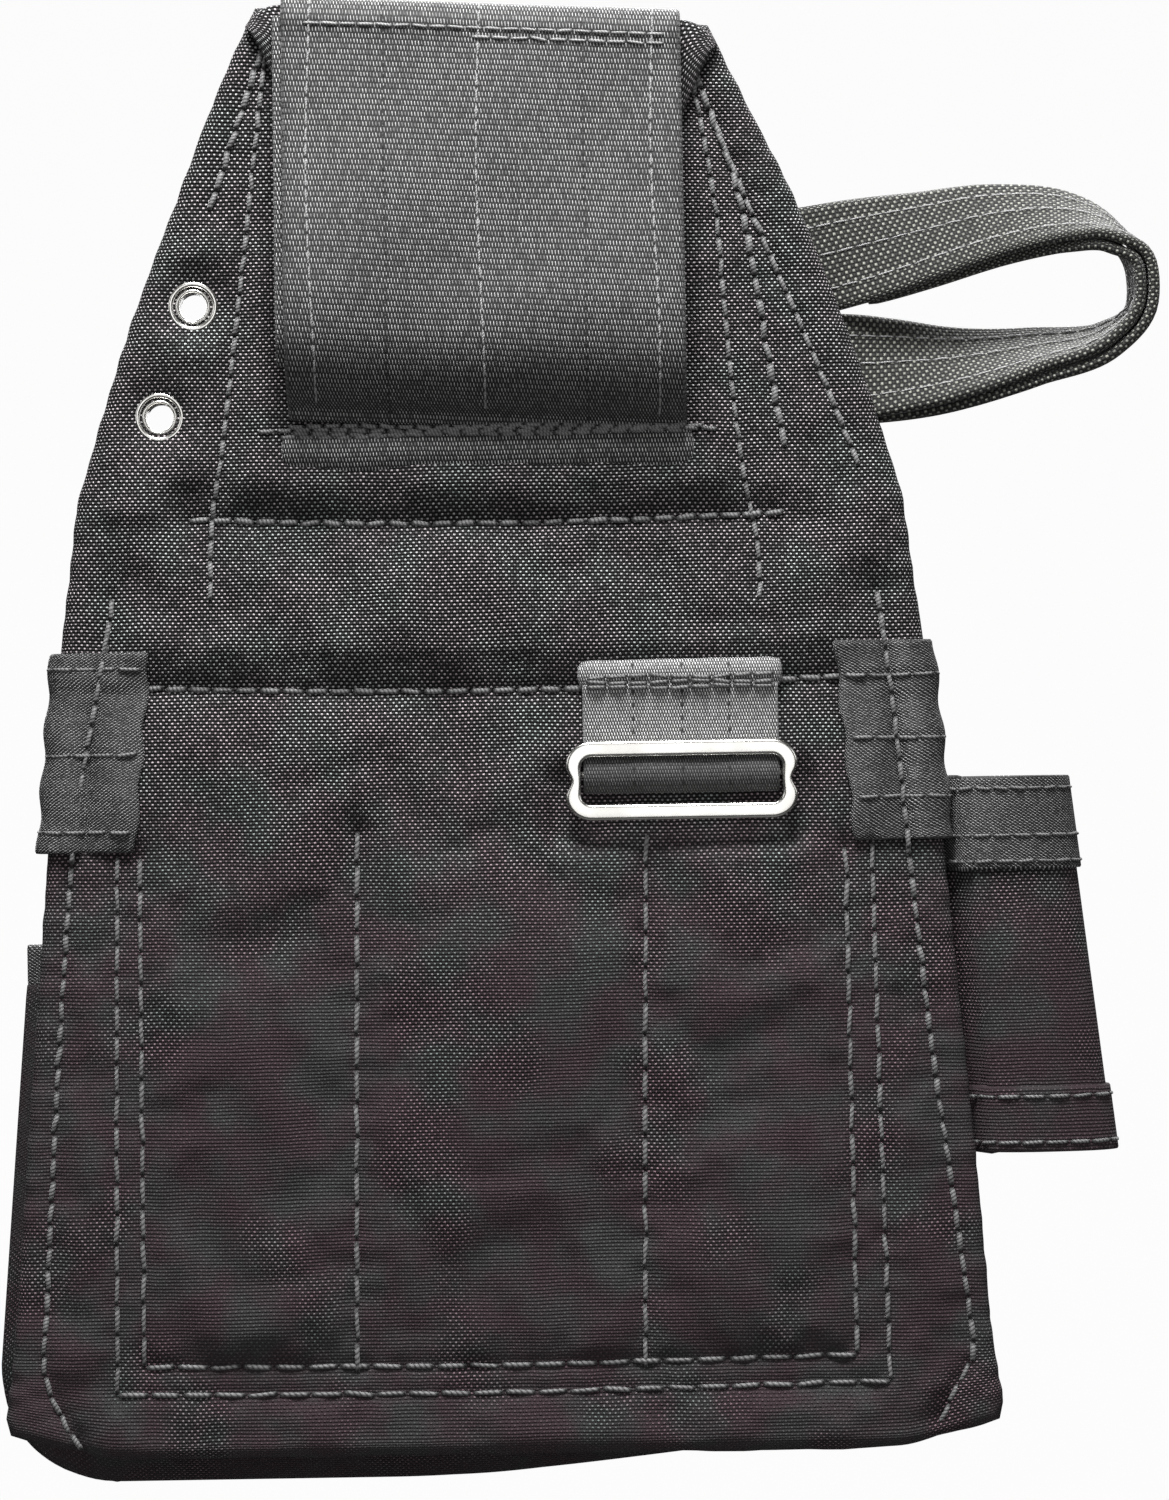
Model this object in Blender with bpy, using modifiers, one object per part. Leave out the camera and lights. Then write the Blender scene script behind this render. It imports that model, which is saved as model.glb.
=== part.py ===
"""Electrician's tool pouch that hangs on a wide work belt.

Frame: +Z is up, -Y faces the wearer's hip, +Y is the pocket side and +X is the hammer loop's side.
The origin is the middle of the belt's seat, the flat ledge at the top of the belt tunnel.
Everything is in metres.
"""

import math

import bmesh
import bpy
from mathutils import Vector

GAP = 0.0003  # clearance between touching pieces

# Back panel: a canvas tray with a foam core and a lining set into its front.
BELT_ROOM = 0.0054  # belt thickness that the top of the tunnel takes
PANEL_BACK = BELT_ROOM / 2 + GAP
PANEL_THICKNESS = 0.0070
PANEL_FRONT = PANEL_BACK + PANEL_THICKNESS
PANEL_TOP = 0.0030
PANEL_HEIGHT = 0.3585
PANEL_BOTTOM = PANEL_TOP - PANEL_HEIGHT
TOP_HALF = 0.0570
SHOULDER_DROP = 0.1200
SHOULDER_HALF = 0.1030
HIP_DROP = 0.1580
HIP_HALF = 0.1080
BASE_HALF = 0.1250
SHOULDER_BOW = 0.0030  # how far the shoulder line bulges past straight
PANEL_CORNER = 0.0080
SKIN = 0.0014
RIM = 0.0030
LINING = 0.0013
LINING_SPLIT = -0.1645  # height of the seam between the two lining pieces
SEAM_PATCH = 0.0014
PATCH_TOP = -0.0050
PATCH_BOTTOM = -0.1220
PATCH_TOP_HALF = 0.0530
PATCH_BOTTOM_HALF = 0.0680

# Belt tunnel: a wide webbing saddle over the panel's top, with an inner layer.
WEBBING_HALF = 0.0490
WEBBING = 0.0022
TUNNEL_LINING = 0.0012
TUNNEL_LINING_SHIFT = -0.0018
TUNNEL_DEPTH = 0.0100  # how far the webbing swells out below the ledge
TUNNEL_HEIGHT = 0.1000
SADDLE_DROP = 0.0250
HEM_HALF = 0.0495
HEM_HEIGHT = 0.0105
HEM_THICKNESS = 0.0021

# Eyelets through the panel's left shoulder.
EYELET_HOLE = 0.0035
EYELET_FLANGE = 0.0065
EYELET_WALL = 0.0008
EYELET_RIM = 0.0012
EYELETS = {"upper": (-0.0734, -0.0682), "lower": (-0.0822, -0.0958)}

# Webbing folded round both side edges, at the pocket's mouth.
WRAP_TOP = -0.1550
WRAP_HEIGHT = 0.0490
WRAP_THICKNESS = 0.0016
WRAP_REACH = 0.0220

# Buckle tab: a folded strap that hangs from a sewn strip and holds a three-bar loop.
TAB_X = 0.0469
TAB_HALF = 0.0237
TAB_WEBBING = 0.0013
TAB_ANCHOR_TOP = -0.1598
TAB_ANCHOR_HEIGHT = 0.0064
TAB_ANCHOR_THICKNESS = 0.0040
TAB_PIVOT_Y = -0.0001
TAB_PIVOT_DROP = 0.0014
BUCKLE_Z = -0.1887
BUCKLE_Y = -0.0022
BUCKLE_HALF_WIDTH = 0.0294
BUCKLE_HALF_HEIGHT = 0.0099
BUCKLE_BAR = 0.0040
BUCKLE_THICKNESS = 0.0024
BUCKLE_PIN_RADIUS = 0.0013

# Hammer loop: two straps, one inside the other, sewn to the right shoulder's front.
LOOP_WIDTH = 0.0250
LOOP_WEBBING = 0.0018
LOOP_SPACING = 0.0023  # from the middle of one strap to the middle of the other
LOOP_ROOT_X = 0.0695
LOOP_REACH = 0.0975
LOOP_UPPER_Z = -0.0600
LOOP_LOWER_Z = -0.0850
LOOP_SWELL_Y = 0.0085
LOOP_HINGE_INSET = 0.0030  # how far inboard of the straps' ends the loop's hinge line lies

# Side sleeve: a hanging canvas tube beside the right edge.
SLEEVE_TOP = -0.1900
SLEEVE_HEIGHT = 0.0930
SLEEVE_WIDTH = 0.0370
SLEEVE_DEPTH = 0.0250
SLEEVE_WALL = 0.0012
SLEEVE_BINDING = 0.0220
SLEEVE_BINDING_WALL = 0.0024
SLEEVE_HEM = 0.0155
SLEEVE_CLEARANCE = 0.0034

# Pockets on the front.
POCKET_WALL = 0.0016
GUSSET_WALL = 0.0012
MAIN_TOP = -0.1630
MAIN_LIFT = 0.0025  # height of the main pocket's foot above the panel's
MAIN_BOTTOM = PANEL_BOTTOM + MAIN_LIFT
MAIN_DEPTH = 0.0300
MAIN_ROOT_INSET = 0.0090
MAIN_FRONT_INSET = 0.0040
MAIN_CORNER = 0.0140
OUTER_TOP = -0.2400
OUTER_LIFT = 0.0030  # height of the outer pocket's rear seam above the main pocket's foot
OUTER_DROP = 0.0160  # how far the outer pocket's front hangs below the main pocket's foot
OUTER_ROOT_BOTTOM = MAIN_BOTTOM + OUTER_LIFT
OUTER_BOTTOM = MAIN_BOTTOM - OUTER_DROP
OUTER_DEPTH = 0.0220
OUTER_ROOT_INSET = 0.0090
OUTER_FRONT_SPREAD = 0.0050
OUTER_SHIFT = -0.0030  # how far the outer pocket sits towards the left
OUTER_CORNER = 0.0160
POCKET_BINDING = 0.0100
POCKET_BINDING_WALL = 0.0030

# Three-compartment tool pocket inside the main pocket.
INNER_TOP = -0.2020
INNER_LIFT = 0.0140  # height of the inner pocket's foot above the main pocket's
INNER_BOTTOM = MAIN_BOTTOM + INNER_LIFT
INNER_HALF = 0.0946
INNER_DIVIDER = 0.0362
INNER_SWELL = 0.0095
INNER_SHOULDER = 0.0100
INNER_WALL = 0.0012
INNER_BINDING = 0.0060

CANVAS = ("canvas", (0.050, 0.047, 0.050), 0.85, 0.0)
LINING_CLOTH = ("lining_cloth", (0.035, 0.035, 0.038), 0.85, 0.0)
FOAM = ("foam", (0.10, 0.10, 0.10), 0.95, 0.0)
BELT_WEBBING = ("belt_webbing", (0.090, 0.092, 0.100), 0.55, 0.0)
BINDING_WEBBING = ("binding_webbing", (0.075, 0.075, 0.080), 0.60, 0.0)
LOOP_STRAP = ("loop_webbing", (0.150, 0.150, 0.130), 0.70, 0.0)
NICKEL = ("nickel", (0.78, 0.77, 0.74), 0.25, 1.0)


def clear_scene():
    for obj in list(bpy.data.objects):
        bpy.data.objects.remove(obj, do_unlink=True)


def collection(name):
    found = bpy.data.collections.new(name)
    bpy.context.scene.collection.children.link(found)
    return found


def material(finish):
    name, colour, roughness, metallic = finish
    found = bpy.data.materials.get(name)
    if found is None:
        found = bpy.data.materials.new(name)
        found.use_nodes = True
        shader = found.node_tree.nodes["Principled BSDF"]
        shader.inputs["Base Color"].default_value = (*colour, 1.0)
        shader.inputs["Roughness"].default_value = roughness
        shader.inputs["Metallic"].default_value = metallic
    return found


def add(name, mesh, finish, home):
    """A new object of this mesh, in a collection, with its material."""
    obj = bpy.data.objects.new(name, mesh)
    home.objects.link(obj)
    if finish is not None:
        mesh.materials.append(material(finish))
    return obj


def baked(obj, home):
    """The object as an evaluated mesh with its doubles merged, in place of the object."""
    bpy.context.view_layer.update()
    graph = bpy.context.evaluated_depsgraph_get()
    mesh = bpy.data.meshes.new_from_object(obj.evaluated_get(graph))
    work = bmesh.new()
    work.from_mesh(mesh)
    bmesh.ops.remove_doubles(work, verts=work.verts, dist=1e-6)
    bmesh.ops.recalc_face_normals(work, faces=work.faces)
    work.to_mesh(mesh)
    work.free()
    name, place = obj.name, obj.matrix_world.copy()
    bpy.data.objects.remove(obj, do_unlink=True)
    new = bpy.data.objects.new(name, mesh)
    home.objects.link(new)
    new.matrix_world = place
    return new


def plate(name, outline, back, front, finish, home, holes=()):
    """A flat outline in X and Z, with round holes (x, z, radius), that spans from back to front in Y."""
    curve = bpy.data.curves.new(name, "CURVE")
    curve.dimensions = "2D"
    curve.fill_mode = "BOTH"
    curve.extrude = (front - back) / 2
    rings = [outline] + [circle(x, z, radius) for x, z, radius in holes]
    for ring in rings:
        spline = curve.splines.new("POLY")
        spline.points.add(len(ring) - 1)
        spline.use_cyclic_u = True
        for point, (x, z) in zip(spline.points, ring):
            point.co = (x, z, 0, 1)
    if finish is not None:
        curve.materials.append(material(finish))
    obj = bpy.data.objects.new(name, curve)
    home.objects.link(obj)
    obj.rotation_euler = (math.pi / 2, 0, 0)
    obj.location = (0, (back + front) / 2, 0)
    return baked(obj, home)


def box(name, low, high, finish, home):
    mesh = bpy.data.meshes.new(name)
    work = bmesh.new()
    bmesh.ops.create_cube(work, size=1)
    size = Vector(high) - Vector(low)
    bmesh.ops.scale(work, vec=size, verts=work.verts)
    bmesh.ops.translate(work, vec=(Vector(high) + Vector(low)) / 2, verts=work.verts)
    work.to_mesh(mesh)
    work.free()
    return add(name, mesh, finish, home)


def sheet(name, rows, thickness, finish, home, closed=False):
    """A shell: a grid of points, open or closed round its rows, thickened about its middle."""
    mesh = bpy.data.meshes.new(name)
    work = bmesh.new()
    grid = [[work.verts.new(point) for point in row] for row in rows]
    for low, high in zip(grid, grid[1:]):
        columns = list(zip(low, high))
        pairs = list(zip(columns, columns[1:]))
        if closed:
            pairs.append((columns[-1], columns[0]))
        for (a, b), (d, c) in pairs:
            work.faces.new((a, b, c, d))
    work.to_mesh(mesh)
    work.free()
    obj = add(name, mesh, finish, home)
    shell = obj.modifiers.new("wall", "SOLIDIFY")
    shell.thickness = thickness
    shell.offset = 0
    shell.use_even_offset = True
    shell.use_quality_normals = True
    return obj


def turned(name, profile, place, finish, home):
    """A ring turned from a closed profile of radius and height, its axis laid along -Y at a place."""
    mesh = bpy.data.meshes.new(name)
    count = len(profile)
    points = [(radius, 0, height) for radius, height in profile]
    mesh.from_pydata(points, [(i, (i + 1) % count) for i in range(count)], [])
    obj = bpy.data.objects.new(name, mesh)
    home.objects.link(obj)
    mesh.materials.append(material(finish))
    screw = obj.modifiers.new("turn", "SCREW")
    screw.axis = "Z"
    screw.steps = screw.render_steps = 32
    screw.use_merge_vertices = True
    screw.merge_threshold = 0.000001
    obj.rotation_euler = (math.pi / 2, 0, 0)
    obj.location = place
    solid = baked(obj, home)
    solid.data.set_sharp_from_angle(angle=math.radians(40))
    return solid


def cut(obj, cutter):
    """Takes the cutter out of the object, and keeps the cutter as a hidden wire helper."""
    step = obj.modifiers.new("cut", "BOOLEAN")
    step.object = cutter
    step.operation = "DIFFERENCE"
    cutter.hide_render = True
    cutter.display_type = "WIRE"


def circle(x, z, radius, steps=32):
    turn = 2 * math.pi / steps
    return [(x + radius * math.cos(i * turn), z + radius * math.sin(i * turn)) for i in range(steps)]


def panel_half(z):
    """Half the panel's width at a height: a bowed shoulder, a short hip and a flared side."""
    levels = [
        (PANEL_TOP, TOP_HALF),
        (PANEL_TOP - SHOULDER_DROP, SHOULDER_HALF),
        (PANEL_TOP - HIP_DROP, HIP_HALF),
        (PANEL_BOTTOM, BASE_HALF),
    ]
    for (high, wide), (low, next_wide) in zip(levels, levels[1:]):
        if z >= low or low == PANEL_BOTTOM:
            share = (high - z) / (high - low)
            bow = SHOULDER_BOW * math.sin(math.pi * share) if high == PANEL_TOP else 0
            return wide + (next_wide - wide) * share + bow


def side_levels(top, bottom, step=0.024):
    """Heights from top to bottom, with the panel's own bends among them."""
    count = max(1, round((top - bottom) / step))
    even = [top + (bottom - top) * i / count for i in range(count + 1)]
    bends = [PANEL_TOP - SHOULDER_DROP, PANEL_TOP - HIP_DROP]
    kept = [z for z in bends if bottom < z < top and min(abs(z - e) for e in even) > step / 5]
    return sorted(even + kept, reverse=True)


def lower_path(half_of, top, bottom, corner, steps=6):
    """A U of points: down the left side, round two corners and up the right side.

    half_of gives half the width at a height.
    """
    left = [(-half_of(z), z) for z in side_levels(top, bottom + corner)]
    wide = half_of(bottom + corner)
    for i in range(1, steps + 1):
        turn = math.pi / 2 * i / steps
        left.append((-wide + corner * (1 - math.cos(turn)), bottom + corner * (1 - math.sin(turn))))
    return left + [(-x, z) for x, z in reversed(left)]


def panel_outline(inset, top, bottom, corner=PANEL_CORNER):
    return lower_path(lambda z: panel_half(z) - inset, top, bottom, corner)


def smooth(points, steps):
    """A Catmull-Rom curve through points of any size, steps to each span."""
    ends = [points[0]] + list(points) + [points[-1]]
    found = []
    for a, b, c, d in zip(ends, ends[1:], ends[2:], ends[3:]):
        for i in range(steps):
            t = i / steps
            found.append(
                tuple(
                    0.5 * (2 * q + (r - p) * t + (2 * p - 5 * q + 4 * r - s) * t**2 + (3 * q - p - 3 * r + s) * t**3)
                    for p, q, r, s in zip(a, b, c, d)
                )
            )
    return found + [tuple(points[-1])]


def back_panel(parts, cutters):
    """The canvas tray: a skin on the hip side and a rim all round, pierced for the eyelets."""
    bore = EYELET_HOLE + EYELET_WALL + GAP
    holes = [(x, z, bore) for x, z in EYELETS.values()]
    outline = panel_outline(0, PANEL_TOP, PANEL_BOTTOM)
    tray = plate("back_panel", outline, PANEL_BACK, PANEL_FRONT, CANVAS, parts, holes)
    hollow = panel_outline(RIM, PANEL_TOP - RIM, PANEL_BOTTOM + RIM)
    cut(tray, plate("tray_cutter", hollow, PANEL_BACK + SKIN, PANEL_FRONT + RIM, None, cutters))
    inset = RIM + GAP
    top, bottom = PANEL_TOP - inset, PANEL_BOTTOM + inset
    lining_back = PANEL_FRONT - LINING
    core = panel_outline(inset, top, bottom)
    plate("foam_pad", core, PANEL_BACK + SKIN + GAP, lining_back - GAP, FOAM, parts, holes)
    split = [(-panel_half(z) + inset, z) for z in side_levels(top, LINING_SPLIT + GAP / 2)]
    upper = split + [(-x, z) for x, z in reversed(split)]
    plate("lining_upper", upper, lining_back, PANEL_FRONT, LINING_CLOTH, parts, holes)
    lower = panel_outline(inset, LINING_SPLIT - GAP / 2, bottom)
    plate("lining_lower", lower, lining_back, PANEL_FRONT, LINING_CLOTH, parts)


def anchor_patch(parts):
    """The reinforcement on the front that the belt webbing is sewn through."""
    outline = [
        (-PATCH_TOP_HALF, PATCH_TOP),
        (-PATCH_BOTTOM_HALF, PATCH_BOTTOM),
        (PATCH_BOTTOM_HALF, PATCH_BOTTOM),
        (PATCH_TOP_HALF, PATCH_TOP),
    ]
    back = PANEL_FRONT + GAP
    plate("anchor_patch", outline, back, back + SEAM_PATCH, CANVAS, parts)


def tunnel_profile(inward):
    """Heights and depths of the tunnel wall's middle, moved inward from the outer webbing's.

    Each entry is the height, the share of the tunnel's swelling and the turn of its normal.
    """
    shape = [(0.0, 0.0, 0.10), (0.20, 0.34, 0.14), (0.42, 0.70, 0.12), (0.62, 1.0, 0.0), (0.80, 1.0, -0.25)]
    base = -(BELT_ROOM / 2 + GAP + TUNNEL_LINING + WEBBING / 2)
    found = []
    for share, swell, turn in shape:
        found.append((base - swell * TUNNEL_DEPTH + inward, -share * TUNNEL_HEIGHT - turn * inward))
    return found


def belt_tunnel(parts):
    """The outer webbing, its inner layer with the ledge that the belt bears on, and the cross strip."""
    patch_front = PANEL_FRONT + GAP + SEAM_PATCH
    front = patch_front + GAP + WEBBING / 2
    crown = PANEL_TOP + GAP + WEBBING / 2
    chamfer = 0.0018
    wall = tunnel_profile(0)
    seat = wall[0][0]
    sewn = PANEL_BACK - GAP - WEBBING / 2
    foot = -TUNNEL_HEIGHT + GAP
    outer = [(front, -SADDLE_DROP), (front, crown - chamfer), (front - chamfer, crown)]
    outer += [(seat + chamfer, crown), (seat, crown - chamfer)] + wall
    outer += [(sewn - 0.0105, foot + 0.0085), (sewn, foot + 0.0027), (sewn, foot)]
    rows = [[(x, y, z) for x in (-WEBBING_HALF, WEBBING_HALF)] for y, z in outer]
    sheet("belt_loop_webbing", rows, WEBBING, BELT_WEBBING, parts)
    inward = WEBBING / 2 + GAP + TUNNEL_LINING / 2
    ledge = TUNNEL_LINING / 2
    inner = [(PANEL_BACK - GAP, ledge), (seat + inward, ledge)] + tunnel_profile(inward)[1:]
    inner += [(sewn - 0.0079, foot + 0.0098), (sewn - 0.0040, foot + 0.0076)]
    sides = [TUNNEL_LINING_SHIFT - WEBBING_HALF, TUNNEL_LINING_SHIFT + WEBBING_HALF]
    rows = [[(x, y, z) for x in sides] for y, z in inner]
    sheet("belt_loop_lining", rows, TUNNEL_LINING, BELT_WEBBING, parts)
    low = (-HEM_HALF, PANEL_BACK - GAP - HEM_THICKNESS, -TUNNEL_HEIGHT - HEM_HEIGHT)
    high = (HEM_HALF, PANEL_BACK - GAP, -TUNNEL_HEIGHT)
    box("belt_loop_hem", low, high, BINDING_WEBBING, parts)


def eyelets(parts):
    """Two metal eyelets: a flange on the hip side, a barrel through the panel and a washer in front."""
    barrel = EYELET_HOLE + EYELET_WALL
    through = PANEL_THICKNESS + 2 * GAP + EYELET_RIM
    for name, (x, z) in EYELETS.items():
        back = PANEL_BACK - GAP
        ring = [
            (EYELET_HOLE, EYELET_RIM),
            (EYELET_HOLE + 0.0008, EYELET_RIM + 0.0003),
            (EYELET_FLANGE - 0.0012, EYELET_RIM),
            (EYELET_FLANGE, EYELET_RIM / 3),
            (EYELET_FLANGE, 0),
            (barrel, 0),
            (barrel, -through),
            (EYELET_HOLE, -through),
        ]
        turned(f"eyelet_{name}", ring, (x, back, z), NICKEL, parts)
        inner = barrel + GAP
        front = PANEL_FRONT + GAP
        washer = [
            (EYELET_FLANGE, 0),
            (EYELET_FLANGE, -EYELET_RIM),
            (inner, -EYELET_RIM),
            (inner, 0),
        ]
        turned(f"eyelet_washer_{name}", washer, (x, front, z), NICKEL, parts)


def edge_wraps(parts):
    """Webbing folded round the panel's edge on each side of the pocket's mouth."""
    back = PANEL_BACK - GAP - WRAP_THICKNESS / 2
    front = PANEL_FRONT + GAP + WRAP_THICKNESS / 2
    out = GAP + WRAP_THICKNESS / 2
    chamfer = 0.0007
    ends = [WRAP_TOP - WRAP_HEIGHT * i / 4 for i in range(5)]
    root = MAIN_ROOT_INSET - GUSSET_WALL - GAP
    for name, side in (("left", -1), ("right", 1)):
        rows = []
        for z in ends:
            edge = panel_half(z)
            path = [
                (edge - WRAP_REACH, back),
                (edge + out - chamfer, back),
                (edge + out, back + chamfer),
                (edge + out, front - chamfer),
                (edge + out - chamfer, front),
                (edge - root, front),
            ]
            rows.append([(side * x, y, z) for x, y in path])
        sheet(f"edge_wrap_{name}", rows, WRAP_THICKNESS, BINDING_WEBBING, parts)


def pivot(name, place, home):
    """An empty on a joint's axis, for the pieces that move with it."""
    empty = bpy.data.objects.new(name, None)
    home.objects.link(empty)
    empty.location = place
    return empty


def hang(obj, parent):
    """Parents the object and leaves it where it is."""
    bpy.context.view_layer.update()
    obj.parent = parent
    obj.matrix_parent_inverse = parent.matrix_world.inverted()


def buckle_tab(parts):
    """The sewn strip, the folded strap below it and the pivot that the strap swings on."""
    low_x, high_x = TAB_X - TAB_HALF, TAB_X + TAB_HALF
    bottom = TAB_ANCHOR_TOP - TAB_ANCHOR_HEIGHT
    back = PANEL_BACK - GAP
    low = (low_x, back - TAB_ANCHOR_THICKNESS, bottom)
    box("tab_anchor", low, (high_x, back, TAB_ANCHOR_TOP), BINDING_WEBBING, parts)
    swing_z = bottom - TAB_PIVOT_DROP
    swing = pivot("tab_swing", (TAB_X, TAB_PIVOT_Y, swing_z), parts)
    reach = BUCKLE_PIN_RADIUS + GAP + TAB_WEBBING / 2
    rear = back - TAB_WEBBING / 2 - GAP
    fore = rear - TAB_WEBBING - GAP
    path = [
        (fore, swing_z),
        (fore, BUCKLE_Z + BUCKLE_HALF_HEIGHT - BUCKLE_BAR - 0.0004),
        (BUCKLE_Y - reach, BUCKLE_Z + 0.0014),
        (BUCKLE_Y - reach, BUCKLE_Z - 0.0010),
        (BUCKLE_Y - 0.0010, BUCKLE_Z - reach),
        (BUCKLE_Y + 0.0008, BUCKLE_Z - reach),
        (BUCKLE_Y + reach, BUCKLE_Z - 0.0006),
        (rear, BUCKLE_Z + 0.0030),
        (rear, swing_z),
    ]
    rows = [[(x, y, z) for x in (low_x, high_x)] for y, z in path]
    strap = sheet("buckle_tab", rows, TAB_WEBBING, BINDING_WEBBING, parts)
    hang(strap, swing)
    return swing


def buckle_frame(parts, cutters, swing):
    """A flat metal frame with pinched sides and a round middle bar that the strap folds over."""
    waist = 0.0022
    half_x, half_z = BUCKLE_HALF_WIDTH, BUCKLE_HALF_HEIGHT
    quarter = [(half_x - 0.0030, half_z), (half_x - 0.0009, half_z - 0.0009), (half_x, half_z - 0.0030)]
    quarter += [(half_x, 0.0030), (half_x - waist, 0.0006)]
    right = quarter + [(x, -z) for x, z in reversed(quarter)]
    ring = right + [(-x, z) for x, z in reversed(right)]
    outline = [(TAB_X + x, BUCKLE_Z + z) for x, z in ring]
    half = BUCKLE_THICKNESS / 2
    frame = plate("buckle_frame", outline, BUCKLE_Y - half, BUCKLE_Y + half, NICKEL, parts)
    window_x = half_x - BUCKLE_BAR - 0.0006
    window_z = half_z - BUCKLE_BAR
    low = (TAB_X - window_x, BUCKLE_Y - 2 * half, BUCKLE_Z - window_z)
    high = (TAB_X + window_x, BUCKLE_Y + 2 * half, BUCKLE_Z + window_z)
    cut(frame, box("buckle_window_cutter", low, high, None, cutters))
    pin_mesh = bpy.data.meshes.new("buckle_pin")
    work = bmesh.new()
    length = 2 * (window_x + 0.0012)
    bmesh.ops.create_cone(
        work,
        cap_ends=True,
        segments=16,
        radius1=BUCKLE_PIN_RADIUS,
        radius2=BUCKLE_PIN_RADIUS,
        depth=length,
    )
    work.to_mesh(pin_mesh)
    work.free()
    pin = add("buckle_pin", pin_mesh, None, cutters)
    pin.rotation_euler = (0, math.pi / 2, 0)
    pin.location = (TAB_X, BUCKLE_Y, BUCKLE_Z)
    pin.hide_render = True
    pin.display_type = "WIRE"
    join = frame.modifiers.new("middle bar", "BOOLEAN")
    join.object = pin
    join.operation = "UNION"
    rock = pivot("buckle_rock", (TAB_X, BUCKLE_Y, BUCKLE_Z), parts)
    hang(rock, swing)
    hang(frame, rock)


def loop_path():
    """The middle of the doubled strap: x, y, z and the lean of its width from upright, in degrees.

    It leaves the shoulder flat, leans over as it goes out, turns round edge-on and comes back.
    """
    root_y = PANEL_FRONT + 2 * GAP + LOOP_WEBBING / 2 + LOOP_SPACING / 2
    swell = LOOP_SWELL_Y
    lower_root = LOOP_ROOT_X + 0.0050
    far = LOOP_ROOT_X + LOOP_REACH
    points = [
        (LOOP_ROOT_X, root_y, LOOP_UPPER_Z, 0),
        (LOOP_ROOT_X + 0.0100, root_y + 0.0008, LOOP_UPPER_Z + 0.0010, 2),
        (LOOP_ROOT_X + 0.0220, root_y + 0.30 * swell, LOOP_UPPER_Z + 0.0030, 14),
        (LOOP_ROOT_X + 0.0400, root_y + 0.68 * swell, LOOP_UPPER_Z + 0.0065, 32),
        (LOOP_ROOT_X + 0.0600, root_y + 0.95 * swell, LOOP_UPPER_Z + 0.0105, 46),
        (LOOP_ROOT_X + 0.0770, root_y + swell, LOOP_UPPER_Z + 0.0110, 62),
        (far - 0.0085, root_y + swell, LOOP_UPPER_Z + 0.0070, 78),
        (far - 0.0010, root_y + swell, LOOP_UPPER_Z - 0.0010, 90),
        (far - 0.0010, root_y + swell, LOOP_UPPER_Z - 0.0105, 90),
        (far - 0.0100, root_y + swell, LOOP_UPPER_Z - 0.0190, 80),
        (LOOP_ROOT_X + 0.0680, root_y + swell, LOOP_LOWER_Z + 0.0020, 66),
        (LOOP_ROOT_X + 0.0500, root_y + 0.75 * swell, LOOP_LOWER_Z - 0.0005, 48),
        (lower_root + 0.0280, root_y + 0.45 * swell, LOOP_LOWER_Z - 0.0010, 26),
        (lower_root + 0.0120, root_y + 0.0016, LOOP_LOWER_Z - 0.0005, 4),
        (lower_root, root_y, LOOP_LOWER_Z, 0),
    ]
    return smooth(points, 3)


def strap_rows(path, offset):
    """Rows of two edge points along a path, moved sideways off its middle by an offset."""
    half = LOOP_WIDTH / 2
    places = [Vector(point[:3]) for point in path]
    rows = []
    for i, point in enumerate(path):
        along = (places[min(i + 1, len(path) - 1)] - places[max(i - 1, 0)]).normalized()
        lean = math.radians(point[3])
        across = Vector((0, math.sin(lean), math.cos(lean)))
        across = (across - along * across.dot(along)).normalized()
        middle = places[i] + along.cross(across) * offset
        rows.append([tuple(middle - across * half), tuple(middle + across * half)])
    return rows


def hammer_loop(parts):
    """Two straps one inside the other, each sewn at one end of the loop."""
    path = loop_path()
    top, bottom = Vector(path[0][:3]), Vector(path[-1][:3])
    middle = (top + bottom) / 2 - Vector((LOOP_HINGE_INSET, 0, 0))
    swing = pivot("hammer_loop_swing", middle, parts)
    end = round(0.90 * len(path))
    start = len(path) - round(0.88 * len(path))
    outer = strap_rows(path[:end], LOOP_SPACING / 2)
    inner = strap_rows(path[start:], -LOOP_SPACING / 2)
    for name, rows in (("loop_outer_strap", outer), ("loop_inner_strap", inner)):
        hang(sheet(name, rows, LOOP_WEBBING, LOOP_STRAP, parts), swing)


def sleeve_ring(wall, z):
    """One level of the sleeve: a drop shape whose point is at the panel's edge."""
    tip = Vector((panel_half(z) + SLEEVE_CLEARANCE, PANEL_FRONT + 0.0026))
    wide, deep = SLEEVE_WIDTH, SLEEVE_DEPTH / 2
    shape = [(0.06, 0), (0.20, -0.42), (0.40, -0.80), (0.64, -0.88), (0.88, -0.60), (1.0, 0)]
    shape += [(0.90, 0.64), (0.66, 1.0), (0.40, 0.92), (0.20, 0.50)]
    outward = (wall - SLEEVE_WALL) / 2
    ring = []
    for x, y in shape:
        spot = Vector((x * wide, y * deep))
        push = (spot - Vector((wide * 0.5, 0))).normalized() * outward
        ring.append((tip.x + spot.x + push.x, tip.y + spot.y + push.y, z))
    return ring


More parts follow.
